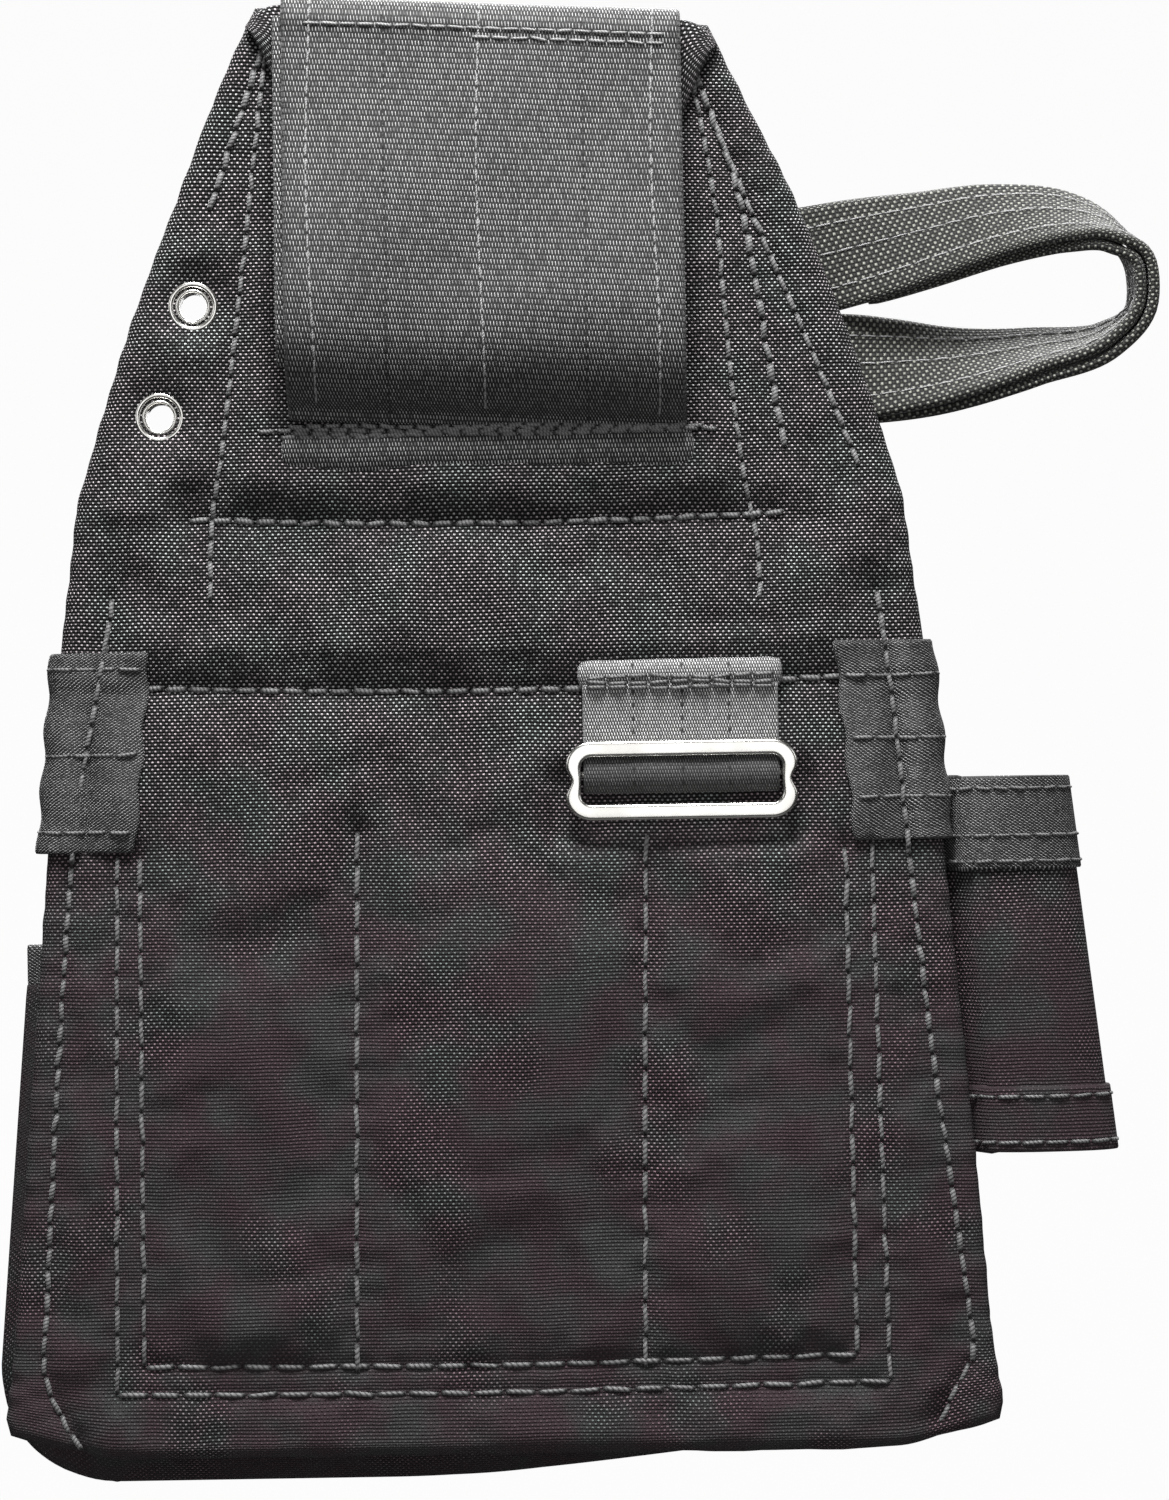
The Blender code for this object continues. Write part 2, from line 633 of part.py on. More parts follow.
def side_sleeve(parts):
    """The canvas tube, the wide binding round its mouth and the hem round its foot."""
    bottom = SLEEVE_TOP - SLEEVE_HEIGHT
    mouth = SLEEVE_TOP - SLEEVE_BINDING
    hem = bottom + SLEEVE_HEM
    middle = (SLEEVE_TOP + bottom) / 2
    place = (panel_half(middle) + SLEEVE_CLEARANCE, PANEL_FRONT + 0.0026, middle)
    swing = pivot("sleeve_swing", place, parts)
    pieces = [
        ("side_sleeve", mouth - GAP, hem + GAP, SLEEVE_WALL, CANVAS),
        ("sleeve_top_binding", SLEEVE_TOP, mouth, SLEEVE_BINDING_WALL, BINDING_WEBBING),
        ("sleeve_bottom_hem", hem, bottom, SLEEVE_BINDING_WALL, CANVAS),
    ]
    for name, top, low, wall, finish in pieces:
        rows = [sleeve_ring(wall, top), sleeve_ring(wall, low)]
        hang(sheet(name, rows, wall, finish, parts, closed=True), swing)


def inner_profile(swell):
    """Across the three compartments: sewn flat at the seams and standing out between them."""
    flat = PANEL_FRONT + GAP + INNER_WALL / 2
    seams = [-INNER_HALF, -INNER_DIVIDER, INNER_DIVIDER, INNER_HALF]
    found = [(seams[0], flat)]
    for left, right in zip(seams, seams[1:]):
        found.append((left + INNER_SHOULDER, flat + swell))
        found.append((right - INNER_SHOULDER, flat + swell))
        found.append((right, flat))
    return found


def inner_pocket(parts):
    """The patch pocket with three compartments and the binding along its mouth."""
    flare = BASE_HALF / INNER_HALF - 1
    rows = []
    for z, share in ((INNER_TOP, 1.0), (INNER_BOTTOM + 0.0250, 1.0), (INNER_BOTTOM, 0.0)):
        wider = 1 + flare * 0.10 * (INNER_TOP - z) / (INNER_TOP - INNER_BOTTOM)
        rows.append([(x * wider, y, z) for x, y in inner_profile(share * INNER_SWELL)])
    sheet("inner_tool_pocket", rows, INNER_WALL, LINING_CLOTH, parts)
    low = INNER_TOP + GAP
    rows = [[(x, y, z) for x, y in inner_profile(INNER_SWELL)] for z in (low + INNER_BINDING, low)]
    sheet("inner_pocket_binding", rows, INNER_WALL, BINDING_WEBBING, parts)


def pocket(kind, shape, parts, root_parent=None):
    """A bellows pocket: front, binding, bottom strip and two side gussets.

    The gussets and the bottom run from the root plane to the front's back face. The front, the
    binding and the bottom swing on a pivot along the bottom seam.
    """
    root_y = shape["root_y"] + GAP
    front_y = shape["root_y"] + shape["depth"]
    top, bottom, corner = shape["top"], shape["bottom"], shape["corner"]
    root_bottom = shape["root_bottom"]
    root_half = lambda z: panel_half(z) - shape["root_inset"]
    front_half = lambda z: panel_half(z) - shape["front_inset"]
    swing = pivot(f"{kind}_open", (0, root_y, root_bottom), parts)
    if root_parent is not None:
        hang(swing, root_parent)
    outline = [(x + shape["shift"], z) for x, z in lower_path(front_half, top, bottom, corner)]
    front = plate(f"{kind}_front", outline, front_y, front_y + POCKET_WALL, CANVAS, parts)
    hang(front, swing)
    edge = GUSSET_WALL / 2
    near = lower_path(lambda z: root_half(z) - edge, top, root_bottom + edge, corner)
    far = lower_path(lambda z: front_half(z) - edge, top, bottom + edge, corner)
    sides = len(side_levels(top, root_bottom + edge + corner))
    columns = (0, 0.5, 1)
    ends = (root_y + edge, front_y - GAP - edge / 2)
    shift = shape["shift"]
    rows = []
    for (xn, zn), (xf, zf) in zip(near, far):
        row = [(xn + (xf - xn) * c, ends[0] + (ends[1] - ends[0]) * c, zn + (zf - zn) * c) for c in columns]
        rows.append([(x + shift, y, z) for x, y, z in row])
    left = sheet(f"{kind}_gusset_left", rows[:sides], GUSSET_WALL, CANVAS, parts)
    right = sheet(f"{kind}_gusset_right", rows[-sides:], GUSSET_WALL, CANVAS, parts)
    base = [[*map(tuple, row)] for row in rows[sides - 1 : len(rows) - sides + 1]]
    for row, along in ((base[0], base[1]), (base[-1], base[-2])):
        for i, (here, there) in enumerate(zip(list(row), along)):
            step = (Vector(there) - Vector(here)).normalized() * GAP
            row[i] = tuple(Vector(here) + step)
    floor = sheet(f"{kind}_bottom", base, GUSSET_WALL, CANVAS, parts)
    hang(floor, swing)
    if root_parent is not None:
        hang(left, root_parent)
        hang(right, root_parent)
    half = front_half(top)
    middle = front_y + POCKET_WALL / 2
    low = (shift - half, middle - POCKET_BINDING_WALL / 2, top + GAP)
    high = (shift + half, middle + POCKET_BINDING_WALL / 2, top + GAP + POCKET_BINDING)
    hang(box(f"{kind}_binding", low, high, BINDING_WEBBING, parts), swing)
    return swing


def pockets(parts):
    main = {
        "root_y": PANEL_FRONT,
        "depth": MAIN_DEPTH,
        "top": MAIN_TOP,
        "bottom": MAIN_BOTTOM,
        "root_bottom": MAIN_BOTTOM,
        "corner": MAIN_CORNER,
        "root_inset": MAIN_ROOT_INSET,
        "front_inset": MAIN_FRONT_INSET,
        "shift": 0.0,
    }
    outer = {
        "root_y": PANEL_FRONT + MAIN_DEPTH + POCKET_WALL,
        "depth": OUTER_DEPTH,
        "top": OUTER_TOP,
        "bottom": OUTER_BOTTOM,
        "root_bottom": OUTER_ROOT_BOTTOM,
        "corner": OUTER_CORNER,
        "root_inset": OUTER_ROOT_INSET,
        "front_inset": -OUTER_FRONT_SPREAD,
        "shift": OUTER_SHIFT,
    }
    main_swing = pocket("main_pocket", main, parts)
    pocket("outer_pocket", outer, parts, main_swing)


def main():
    clear_scene()
    parts = collection("tool_pouch")
    cutters = collection("cutters")
    back_panel(parts, cutters)
    anchor_patch(parts)
    belt_tunnel(parts)
    eyelets(parts)
    edge_wraps(parts)
    swing = buckle_tab(parts)
    buckle_frame(parts, cutters, swing)
    hammer_loop(parts)
    side_sleeve(parts)
    inner_pocket(parts)
    pockets(parts)


main()
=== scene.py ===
"""The looks of the electrician tool pouch: canvas, webbing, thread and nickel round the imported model.

Every shape is a surface of two parameters worked out as whole arrays. Lengths are metres, or
millimetres where a name says so. +Z is up as the pouch hangs, -Y is the wearer's hip side.
"""

import math
from collections import namedtuple

import bpy
import numpy as np
from mathutils import Matrix, Vector

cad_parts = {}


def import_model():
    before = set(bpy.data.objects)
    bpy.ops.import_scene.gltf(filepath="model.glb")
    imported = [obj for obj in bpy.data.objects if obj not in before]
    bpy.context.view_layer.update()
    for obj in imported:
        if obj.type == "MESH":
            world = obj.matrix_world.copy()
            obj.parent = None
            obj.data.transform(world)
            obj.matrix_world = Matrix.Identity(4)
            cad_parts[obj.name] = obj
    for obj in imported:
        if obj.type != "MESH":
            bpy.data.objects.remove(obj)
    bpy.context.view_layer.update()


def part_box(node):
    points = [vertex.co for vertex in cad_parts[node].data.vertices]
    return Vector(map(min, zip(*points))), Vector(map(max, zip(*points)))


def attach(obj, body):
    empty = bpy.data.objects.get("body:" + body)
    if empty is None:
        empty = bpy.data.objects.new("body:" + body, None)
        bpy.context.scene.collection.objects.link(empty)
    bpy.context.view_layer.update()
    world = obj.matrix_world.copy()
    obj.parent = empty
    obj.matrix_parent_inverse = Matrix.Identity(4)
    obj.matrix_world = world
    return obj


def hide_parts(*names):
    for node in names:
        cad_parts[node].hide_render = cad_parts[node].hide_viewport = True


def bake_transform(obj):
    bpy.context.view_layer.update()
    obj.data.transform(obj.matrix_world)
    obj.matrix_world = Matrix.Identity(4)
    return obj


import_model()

MM = 0.001
STEP = 0.00146  # spacing of the points on large canvas faces

PANEL_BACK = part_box("back_panel")[0].y
PANEL_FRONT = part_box("back_panel")[1].y
PANEL_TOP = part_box("back_panel")[1].z
PANEL_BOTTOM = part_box("back_panel")[0].z
MAIN_LOW, MAIN_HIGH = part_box("main_pocket_front")
OUTER_LOW, OUTER_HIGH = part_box("outer_pocket_front")


# ---------------------------------------------------------------- arrays and meshes


def surface(*parts):
    """A grid of points or of cloth coordinates, from arrays that spread over the same rows and columns."""
    return np.stack(np.broadcast_arrays(*parts), axis=2)


def unit(vectors):
    """Each vector divided by its own length."""
    return vectors / np.maximum(np.linalg.norm(vectors, axis=-1, keepdims=True), 1e-12)


def ease(low, high, values):
    """0 below low, 1 above high, and three times the square less twice the cube between them."""
    share = np.clip((values - low) / (high - low), 0, 1)
    return share * share * (3 - 2 * share)


def lengths(points):
    """The length run along a line of points, up to each of them."""
    steps = np.linalg.norm(np.diff(points, axis=0), axis=1)
    return np.concatenate([[0], np.cumsum(steps)])


def curve(points, count):
    """Even points on a smooth line through some points: cubic arcs whose slopes are the chords' own."""
    points = np.asarray(points, float)
    run = lengths(points)
    slopes = np.gradient(points, run, axis=0)
    fine = np.linspace(0, run[-1], 12 * len(points))
    spot = np.clip(np.searchsorted(run, fine, side="right") - 1, 0, len(points) - 2)
    span = (run[spot + 1] - run[spot])[:, None]
    t = (fine - run[spot])[:, None] / span
    line = (2 * t**3 - 3 * t**2 + 1) * points[spot] + (3 * t**2 - 2 * t**3) * points[spot + 1]
    line += (t**3 - 2 * t**2 + t) * span * slopes[spot] + (t**3 - t**2) * span * slopes[spot + 1]
    return even(line, count)


def even(points, count):
    """Points at equal distances along a line of straight pieces."""
    points = np.asarray(points, float)
    run = lengths(points)
    places = np.linspace(0, run[-1], count)
    return np.stack([np.interp(places, run, points[:, k]) for k in range(points.shape[1])], axis=1)


def normals(grid, closed=False):
    """The cross product of a grid's two directions, at each point, of length one."""
    if closed:
        across = np.roll(grid, -1, axis=1) - np.roll(grid, 1, axis=1)
    else:
        across = np.gradient(grid, axis=1)
    return unit(np.cross(across, np.gradient(grid, axis=0)))


def flat_map(grid):
    """Cloth coordinates of a grid in metres: the mean length run across it and the mean run down it."""
    across = np.linalg.norm(np.diff(grid, axis=1), axis=2)
    down = np.linalg.norm(np.diff(grid, axis=0), axis=2).mean(axis=1)
    u = np.concatenate([np.zeros((len(grid), 1)), np.cumsum(across, axis=1)], axis=1)
    u = u - u[:, -1:] / 2
    v = np.concatenate([[0], -np.cumsum(down)])[:, None] + 0 * u
    return surface(u, v)


def to_object(name, points, quads, uvs):
    """A mesh object from arrays: points, four corners a face, and cloth coordinates for each corner."""
    mesh = bpy.data.meshes.new(name)
    mesh.vertices.add(len(points))
    mesh.vertices.foreach_set("co", points.astype(np.float32).ravel())
    mesh.loops.add(quads.size)
    mesh.loops.foreach_set("vertex_index", quads.astype(np.int32).ravel())
    mesh.polygons.add(len(quads))
    mesh.polygons.foreach_set("loop_start", np.arange(0, quads.size, 4, dtype=np.int32))
    mesh.polygons.foreach_set("use_smooth", np.ones(len(quads), bool))
    layer = mesh.uv_layers.new(name="cloth")
    layer.data.foreach_set("uv", uvs.astype(np.float32).ravel())
    mesh.update(calc_edges=True)
    mesh.validate()
    made = bpy.data.objects.new(name, mesh)
    bpy.context.scene.collection.objects.link(made)
    return made


def numbered(rows, columns):
    """The numbers of a grid's points, counted along its rows."""
    return np.arange(rows * columns).reshape(rows, columns)


def ringed(table):
    """A table with its first column repeated after its last, so that its cells go all the way round."""
    return np.concatenate([table, table[:, :1]], axis=1)


def corners(number):
    """The four corner numbers of each cell of a table of point numbers."""
    cells = [number[:-1, :-1], number[:-1, 1:], number[1:, 1:], number[1:, :-1]]
    return np.stack(cells, axis=2).reshape(-1, 4)


def rim_order(rows, columns):
    """The numbers of a grid's border points, once round it."""
    number = numbered(rows, columns)
    return np.concatenate([number[0, :-1], number[:-1, -1], number[-1, :0:-1], number[:0:-1, 0]])


def rim_outwards(grid, order):
    """At each border point the way out of the grid: the sum of its last steps across and down."""
    away = np.zeros_like(grid)
    away[0] += unit(grid[0] - grid[1])
    away[-1] += unit(grid[-1] - grid[-2])
    away[:, 0] += unit(grid[:, 0] - grid[:, 1])
    away[:, -1] += unit(grid[:, -1] - grid[:, -2])
    return away.reshape(-1, grid.shape[2])[order]


def side_quads(near, far):
    """The cells between two closed loops of point numbers."""
    return np.stack([np.roll(near, -1), near, far, np.roll(far, -1)], axis=1)


def finished(name, points, quads, uvs, finish):
    """A mesh object with its material."""
    made = to_object(name, points, quads, uvs)
    made.data.materials.append(finish)
    return made


def two_faced(name, outer, inner, finish, bulge=1.0, steps=4, uv=None):
    """A closed solid between two grids of the same size: its rim is half an ellipse from one to the other."""
    rows, columns = outer.shape[:2]
    count = rows * columns
    uv = flat_map(outer) if uv is None else uv
    order = rim_order(rows, columns)
    middle = (outer + inner) / 2
    away = unit(rim_outwards(middle, order))
    half = (outer - inner).reshape(-1, 3)[order] / 2
    centre = middle.reshape(-1, 3)[order]
    flat = uv.reshape(-1, 2)
    uv_away = rim_outwards(uv, order)
    deep = np.linalg.norm(half, axis=1, keepdims=True)
    points = [outer.reshape(-1, 3), inner.reshape(-1, 3)]
    maps = [flat, flat]
    loops = [order]
    for k in range(1, steps):
        turn = math.pi * k / steps
        points.append(centre + math.cos(turn) * half + math.sin(turn) * bulge * deep * away)
        maps.append(flat[order] + uv_away * deep * turn)
        loops.append(2 * count + (k - 1) * len(order) + np.arange(len(order)))
    loops.append(order + count)
    face = corners(numbered(rows, columns))
    quads = [face, face[:, ::-1] + count]
    quads += [side_quads(near, far) for near, far in zip(loops, loops[1:])]
    quads = np.concatenate(quads)
    if np.sum(normals(outer) * (outer - inner)) < 0:
        quads = quads[:, ::-1]
    return finished(name, np.concatenate(points), quads, np.concatenate(maps)[quads.ravel()], finish)


def cloth(name, middle, thick, finish, steps=3, uv=None):
    """A sheet of cloth or webbing: a grid thickened by half its thickness along each side of its normal."""
    side = normals(middle) * (np.asarray(thick)[..., None] if np.ndim(thick) else thick) / 2
    return two_faced(name, middle + side, middle - side, finish, steps=steps, uv=uv)


def hoop(name, outer, inner, finish):
    """A tube with a wall: two closed rings a level, joined round each end by half an ellipse."""
    rows, columns = outer.shape[:2]
    number = numbered(rows, columns)
    count = rows * columns
    flat = flat_map(ringed(outer)).reshape(-1, 2)
    uv_number = numbered(rows, columns + 1)
    face = corners(ringed(number))
    face_uv = corners(uv_number)
    quads = [face, face[:, ::-1] + count]
    maps = [face_uv, face_uv[:, ::-1]]
    points = [outer.reshape(-1, 3), inner.reshape(-1, 3)]
    start = 2 * count
    for row, next_row, order in ((0, 1, 1), (rows - 1, rows - 2, -1)):
        middle = (outer[row] + inner[row]) / 2
        away = unit(middle - (outer[next_row] + inner[next_row]) / 2)
        half = (outer[row] - inner[row]) / 2
        deep = np.linalg.norm(half, axis=1, keepdims=True)
        loops = [number[row]]
        for turn in (math.pi / 3, math.pi * 2 / 3):
            points.append(middle + math.cos(turn) * half + math.sin(turn) * deep * away)
            loops.append(start + np.arange(columns))
            start += columns
        loops.append(number[row] + count)
        edge = uv_number[row]
        edge_uv = np.stack([edge[1:], edge[:-1], edge[:-1], edge[1:]], axis=1)
        for near, far in zip(loops, loops[1:]):
            quads.append(side_quads(near, far)[:, ::order])
            maps.append(edge_uv[:, ::order])
    quads = np.concatenate(quads)
    maps = np.concatenate(maps)
    if np.sum(normals(outer, closed=True) * (outer - inner)) < 0:
        quads = quads[:, ::-1]
        maps = maps[:, ::-1]
    return finished(name, np.concatenate(points), quads, flat[maps.ravel()], finish)


def ring_solid(name, grid, finish, uv):
    """A grid closed both ways, as a bent rod's skin is. Its map has one more row and one more column."""
    wrapped = ringed(numbered(*grid.shape[:2]))
    quads = corners(np.concatenate([wrapped, wrapped[:1]]))
    places = corners(numbered(*uv.shape[:2]))
    a, b, c = (grid.reshape(-1, 3)[quads[:, k]] for k in (0, 1, 2))
    facing = np.cross(b - a, c - a)
    if np.sum(facing * a) < np.sum(facing * grid.mean(axis=(0, 1))):
        quads = quads[:, ::-1]
        places = places[:, ::-1]
    return finished(name, grid.reshape(-1, 3), quads, uv.reshape(-1, 2)[places.ravel()], finish)


def lathe(name, profile, centre, finish, around=48):
    """A profile of radius and depth turned round an axis along Y: x = r cos a, z = r sin a."""
    profile = np.asarray(profile, float)
    angle = np.linspace(0, 2 * math.pi, around, endpoint=False)
    radius = profile[:, :1]
    grid = surface(centre[0] + radius * np.cos(angle), profile[:, 1:], centre[1] + radius * np.sin(angle))
    run = lengths(np.vstack([profile, profile[:1]]))
    arc = np.linspace(0, 2 * math.pi, around + 1) * profile[0, 0]
    return ring_solid(name, grid, finish, np.stack(np.meshgrid(arc, run), axis=2))


# ---------------------------------------------------------------- materials


UV_OUT = 2  # outputs of the Texture Coordinate node
OBJECT_OUT = 3


class Wire:
    """One output of a node. Arithmetic on it adds Math nodes to the same material."""

    def __init__(self, tree, socket=None):
        self.tree = tree
        self.socket = socket

    def node(self, kind, settings=(), out=0, **sockets):
        """Adds a node: its settings, then each socket's value or link, by name or as i and its number."""
        made = self.tree.nodes.new(kind)
        for name, value in dict(settings).items():
            setattr(made, name, value)
        for name, value in sockets.items():
            key = int(name[1:]) if name[0] == "i" and name[1:].isdigit() else name.replace("_", " ")
            if isinstance(value, Wire):
                self.tree.links.new(value.socket, made.inputs[key])
            else:
                made.inputs[key].default_value = value
        return Wire(self.tree, made.outputs[out])

    def into(self, shader, name):
        """Links this wire to one of a shader's sockets."""
        self.tree.links.new(self.socket, shader.inputs[name])

    def math(self, operation, *values):
        """A Math node on numbers or wires."""
        sockets = {f"i{number}": value for number, value in enumerate(values)}
        return self.node("ShaderNodeMath", {"operation": operation}, **sockets)

    def noise(self, where, scale, detail=2.0, **sockets):
        """Cloudy noise of a size over some coordinates."""
        return self.node("ShaderNodeTexNoise", Vector=where, Scale=scale, Detail=detail, **sockets)

    def part(self, number):
        """One of a vector's three parts: 0, 1 or 2 for x, y or z."""
        return self.node("ShaderNodeSeparateXYZ", out=number, Vector=self)

    def bump(self, height, strength, distance):
        """A normal raised by a height."""
        return self.node("ShaderNodeBump", Height=height, Strength=strength, Distance=distance)

    def fraction(self):
        return self.math("FRACT", self)

    def whole(self):
        return self.math("FLOOR", self)

    def absolute(self):
        return self.math("ABSOLUTE", self)

    def hump(self):
        """The sine of half a turn: nought at each whole number and one half way between."""
        return self.math("SINE", self * math.pi).absolute()

    def clamp(self):
        return self.node("ShaderNodeClamp", Value=self, Min=0.0, Max=1.0)

    def between(self, low, high):
        """Smoothly from 0 at low to 1 at high."""
        settings = {"interpolation_type": "SMOOTHSTEP"}
        return self.node("ShaderNodeMapRange", settings, Value=self, From_Min=low, From_Max=high)


SIGNS = {"add": "ADD", "sub": "SUBTRACT", "mul": "MULTIPLY", "truediv": "DIVIDE", "pow": "POWER"}
for sign, operation in SIGNS.items():
    setattr(Wire, f"__{sign}__", lambda a, b, kind=operation: a.math(kind, a, b))
    setattr(Wire, f"__r{sign}__", lambda a, b, kind=operation: a.math(kind, b, a))


def new_finish(name, **constants):
    """A material whose shader has constants set on its own sockets.

    Returns the material, the shader, a bare wire for new nodes and the object coordinates.
    """
    made = bpy.data.materials.new(name)
    made.use_nodes = True
    shader = made.node_tree.nodes["Principled BSDF"]
    for key, value in constants.items():
        shader.inputs[key.replace("_", " ")].default_value = value
    wire = Wire(made.node_tree)
    return made, shader, wire, wire.node("ShaderNodeTexCoord", out=OBJECT_OUT)


def blend_colours(wire, share, first, second, kind="MIX"):
    """A Mix node between two colours, or with MULTIPLY a colour dyed by another as far as a share."""
    settings = {"data_type": "RGBA", "blend_type": kind}
    return wire.node("ShaderNodeMix", settings, out=2, i0=share, i6=first, i7=second)


def grey(tone, warm=(1.0, 1.0, 1.0)):
    """An opaque colour: one tone, or a tone warmed or cooled by a factor for each of red, green and blue."""
    return (tone * warm[0], tone * warm[1], tone * warm[2], 1.0)


def woven(across, down, dash):
    """Over-and-under cloth. In every other cell the cross thread is on top, in the rest the lengthways one.

    across and down count cells. dash holds the power of the hump across a cell and down it, how far the dip
    between neighbours is filled, and the height of the cells underneath.
    """
    power_across, power_down, filled, underneath = dash
    parity = ((across.whole() + down.whole()) * 0.5).fraction() * 2.0
    on_top = ((parity - 0.5) * 4.0).clamp()
    hump_across = (across.hump() ** power_across) * (1.0 - filled) + filled
    return hump_across * (down.hump() ** power_down) * (on_top * (1.0 - underneath) + underneath)


def stained(wire, body, drop, colour, dyes):
    """Uneven colour that shows more towards the foot: red dye patches, green ones between them, a darker and
    warmer tone, and a flat haze that thins in patches.
    """
    stain = wire.noise(body, dyes["size"], 3.0)
    amount = 0.35 + drop.between(0.14, 0.26) * 0.65
    red_share = amount * stain.between(0.36, 0.62)
    colour = blend_colours(wire, red_share, colour, dyes["red"], "MULTIPLY")
    green_share = amount * (1.0 - stain.between(0.30, 0.50))
    colour = blend_colours(wire, green_share, colour, dyes["green"], "MULTIPLY")
    # Darker and a little warmer towards the foot.
    colour = blend_colours(wire, drop.between(0.15, 0.27), colour, dyes["low"], "MULTIPLY")
    haze_thinning = wire.noise(body, 34.0, 1.0)
    haze = drop.between(0.17, 0.26) * (0.85 - 0.55 * haze_thinning.between(0.50, 0.68))
    haze_tint = blend_colours(wire, red_share, dyes["haze"], dyes["red"], "MULTIPLY")
    return blend_colours(wire, haze, colour, haze_tint)


def cloth_finish(
    name, tones, pitch, dash, depth, rough, sheen, spec, wander, lean=0.0, dyes=None, dots=(), shade=None
):
    """A woven material on cloth coordinates.

    tones are the colours of gap, low thread and high thread: the near-black gap is painted shade between the
    threads, and the high thread's light colour is partly its paler yarn and partly a painted highlight on the
    thread tops; pitch the width and height of a cell; dash its profile; wander the pace and reach of the
    weave's drift; lean how far each cell slants; dyes the stains and the darker, hazier tone towards the
    foot; dots are lines of needle holes, each a place across the cloth, a width and a pace; shade is a start,
    an end and a colour of painted shade, darkening the cloth from some drop below the belt's seat.
    """
    made, shader, wire, body = new_finish(
        name, Roughness=rough, Sheen_Weight=sheen, Sheen_Roughness=0.5, Specular_IOR_Level=spec
    )
    where = wire.node("ShaderNodeTexCoord", out=UV_OUT)
    wide, tall = pitch
    shift = (wire.noise(body, wander[0]) - 0.5) * wander[1]
    plain_u = where.part(0)
    plain_v = where.part(1)
    v = plain_v + shift
    u = plain_u + shift * 0.6
    if lean:
        u = u + (v / tall).fraction() * (wide * lean)
    across = u / wide
    down = v / tall
    height = woven(across, down, dash)
    cell = wire.node("ShaderNodeCombineXYZ", X=across.whole(), Y=down.whole())
    speck = wire.node("ShaderNodeTexWhiteNoise", {"noise_dimensions": "2D"}, Vector=cell)
    patch = wire.noise(body, 38.0, 4.0, Roughness=0.6)
    fluff = wire.noise(body, 900.0)
    # Painted shade and highlight: the tone runs from near-black gaps between threads to bright thread tops,
    # partly the yarns' own two colours.
    tone = height.between(0.12, 0.95) * (0.70 + speck * 0.60) * (0.74 + patch * 0.52)
    tone = (tone + (fluff - 0.5) * 0.12).clamp()
    colour = blend_colours(wire, (tone * 2.0).clamp(), tones[0], tones[1])
    colour = blend_colours(wire, (tone * 2.0 - 1.0).clamp(), colour, tones[2])
    drop = 0.0 - body.part(2)
    if dyes:
        colour = stained(wire, body, drop, colour, dyes)
    # Painted shade: below a given drop the cloth is darkened as if in shadow.
    if shade:
        colour = blend_colours(wire, drop.between(shade[0], shade[1]), colour, shade[2], "MULTIPLY")
    for centre, width, pace in dots:
        aside = (plain_u - centre).absolute() / width
        hole = (1.0 - aside.between(0.5, 1.0)) * (plain_v / pace).hump().between(0.70, 0.92)
        colour = blend_colours(wire, hole * 0.9, colour, grey(0.002))
    colour.into(shader, "Base Color")
    (rough + 0.12 - tone * 0.22).clamp().into(shader, "Roughness")
    crease = wire.noise(body, 120.0, 3.0)
    relief = height + (fluff - 0.5) * 0.25 + (crease - 0.5) * 0.5
    wire.bump(relief, 0.9, depth).into(shader, "Normal")
    return made


def thread_finish(name, dark, light):
    """Twisted thread: slanting ridges round each stitch over uneven dye, with painted shade at its two ends
    where it dives into the cloth.
    """
    made, shader, wire, body = new_finish(name, Roughness=0.55, Sheen_Weight=0.25)
    where = wire.node("ShaderNodeTexCoord", out=UV_OUT)
    place = where.part(0).fraction()
    ply = (place * 5.0 + where.part(1) * 1.5).hump()
    patch = wire.noise(body, 260.0)
    # Painted shade: each stitch falls to the dark colour at its two ends, where it dives into the cloth.
    ends = place.between(0.02, 0.16) * (1.0 - place.between(0.84, 0.98))
    tone = ((ply * 0.75 + patch * 0.6 - 0.2) * ends).clamp()
    blend_colours(wire, tone, dark, light).into(shader, "Base Color")
    wire.bump(ply, 0.7, 0.00015).into(shader, "Normal")
    return made


def nickel_finish():
    """Plated steel: a bright metal with fine rubbing and slight dulling in patches."""
    made, shader, wire, body = new_finish("nickel_plate", Metallic=1.0)
    patch = wire.noise(body, 90.0, 4.0)
    colour = blend_colours(wire, patch.between(0.35, 0.75), (0.78, 0.77, 0.745, 1), (0.66, 0.645, 0.61, 1))
    colour.into(shader, "Base Color")
    (0.20 + patch * 0.08).clamp().into(shader, "Roughness")
    wire.bump(wire.noise(body, 1400.0), 0.04, 0.00002).into(shader, "Normal")
    return made


def foam_finish():
    """Open foam: small round cells."""
    made, shader, wire, body = new_finish("foam", Roughness=0.95)
    cells = wire.node("ShaderNodeTexVoronoi", Vector=body, Scale=900.0)
    blend_colours(wire, cells.clamp(), grey(0.03), grey(0.14)).into(shader, "Base Color")
    wire.bump(cells, 0.6, 0.0003).into(shader, "Normal")
    return made


def floor_finish():
    """A pale matt floor with a little unevenness, which glows only where the camera sees it."""
    made, shader, wire, body = new_finish("studio_floor", Roughness=0.9, Emission_Strength=0.93)
    blend_colours(wire, wire.noise(body, 3.0), grey(0.30), grey(0.33)).into(shader, "Base Color")
    seen = wire.node("ShaderNodeLightPath", out=0)
    blend_colours(wire, seen, grey(0.0), grey(1.0)).into(shader, "Emission Color")
    return made


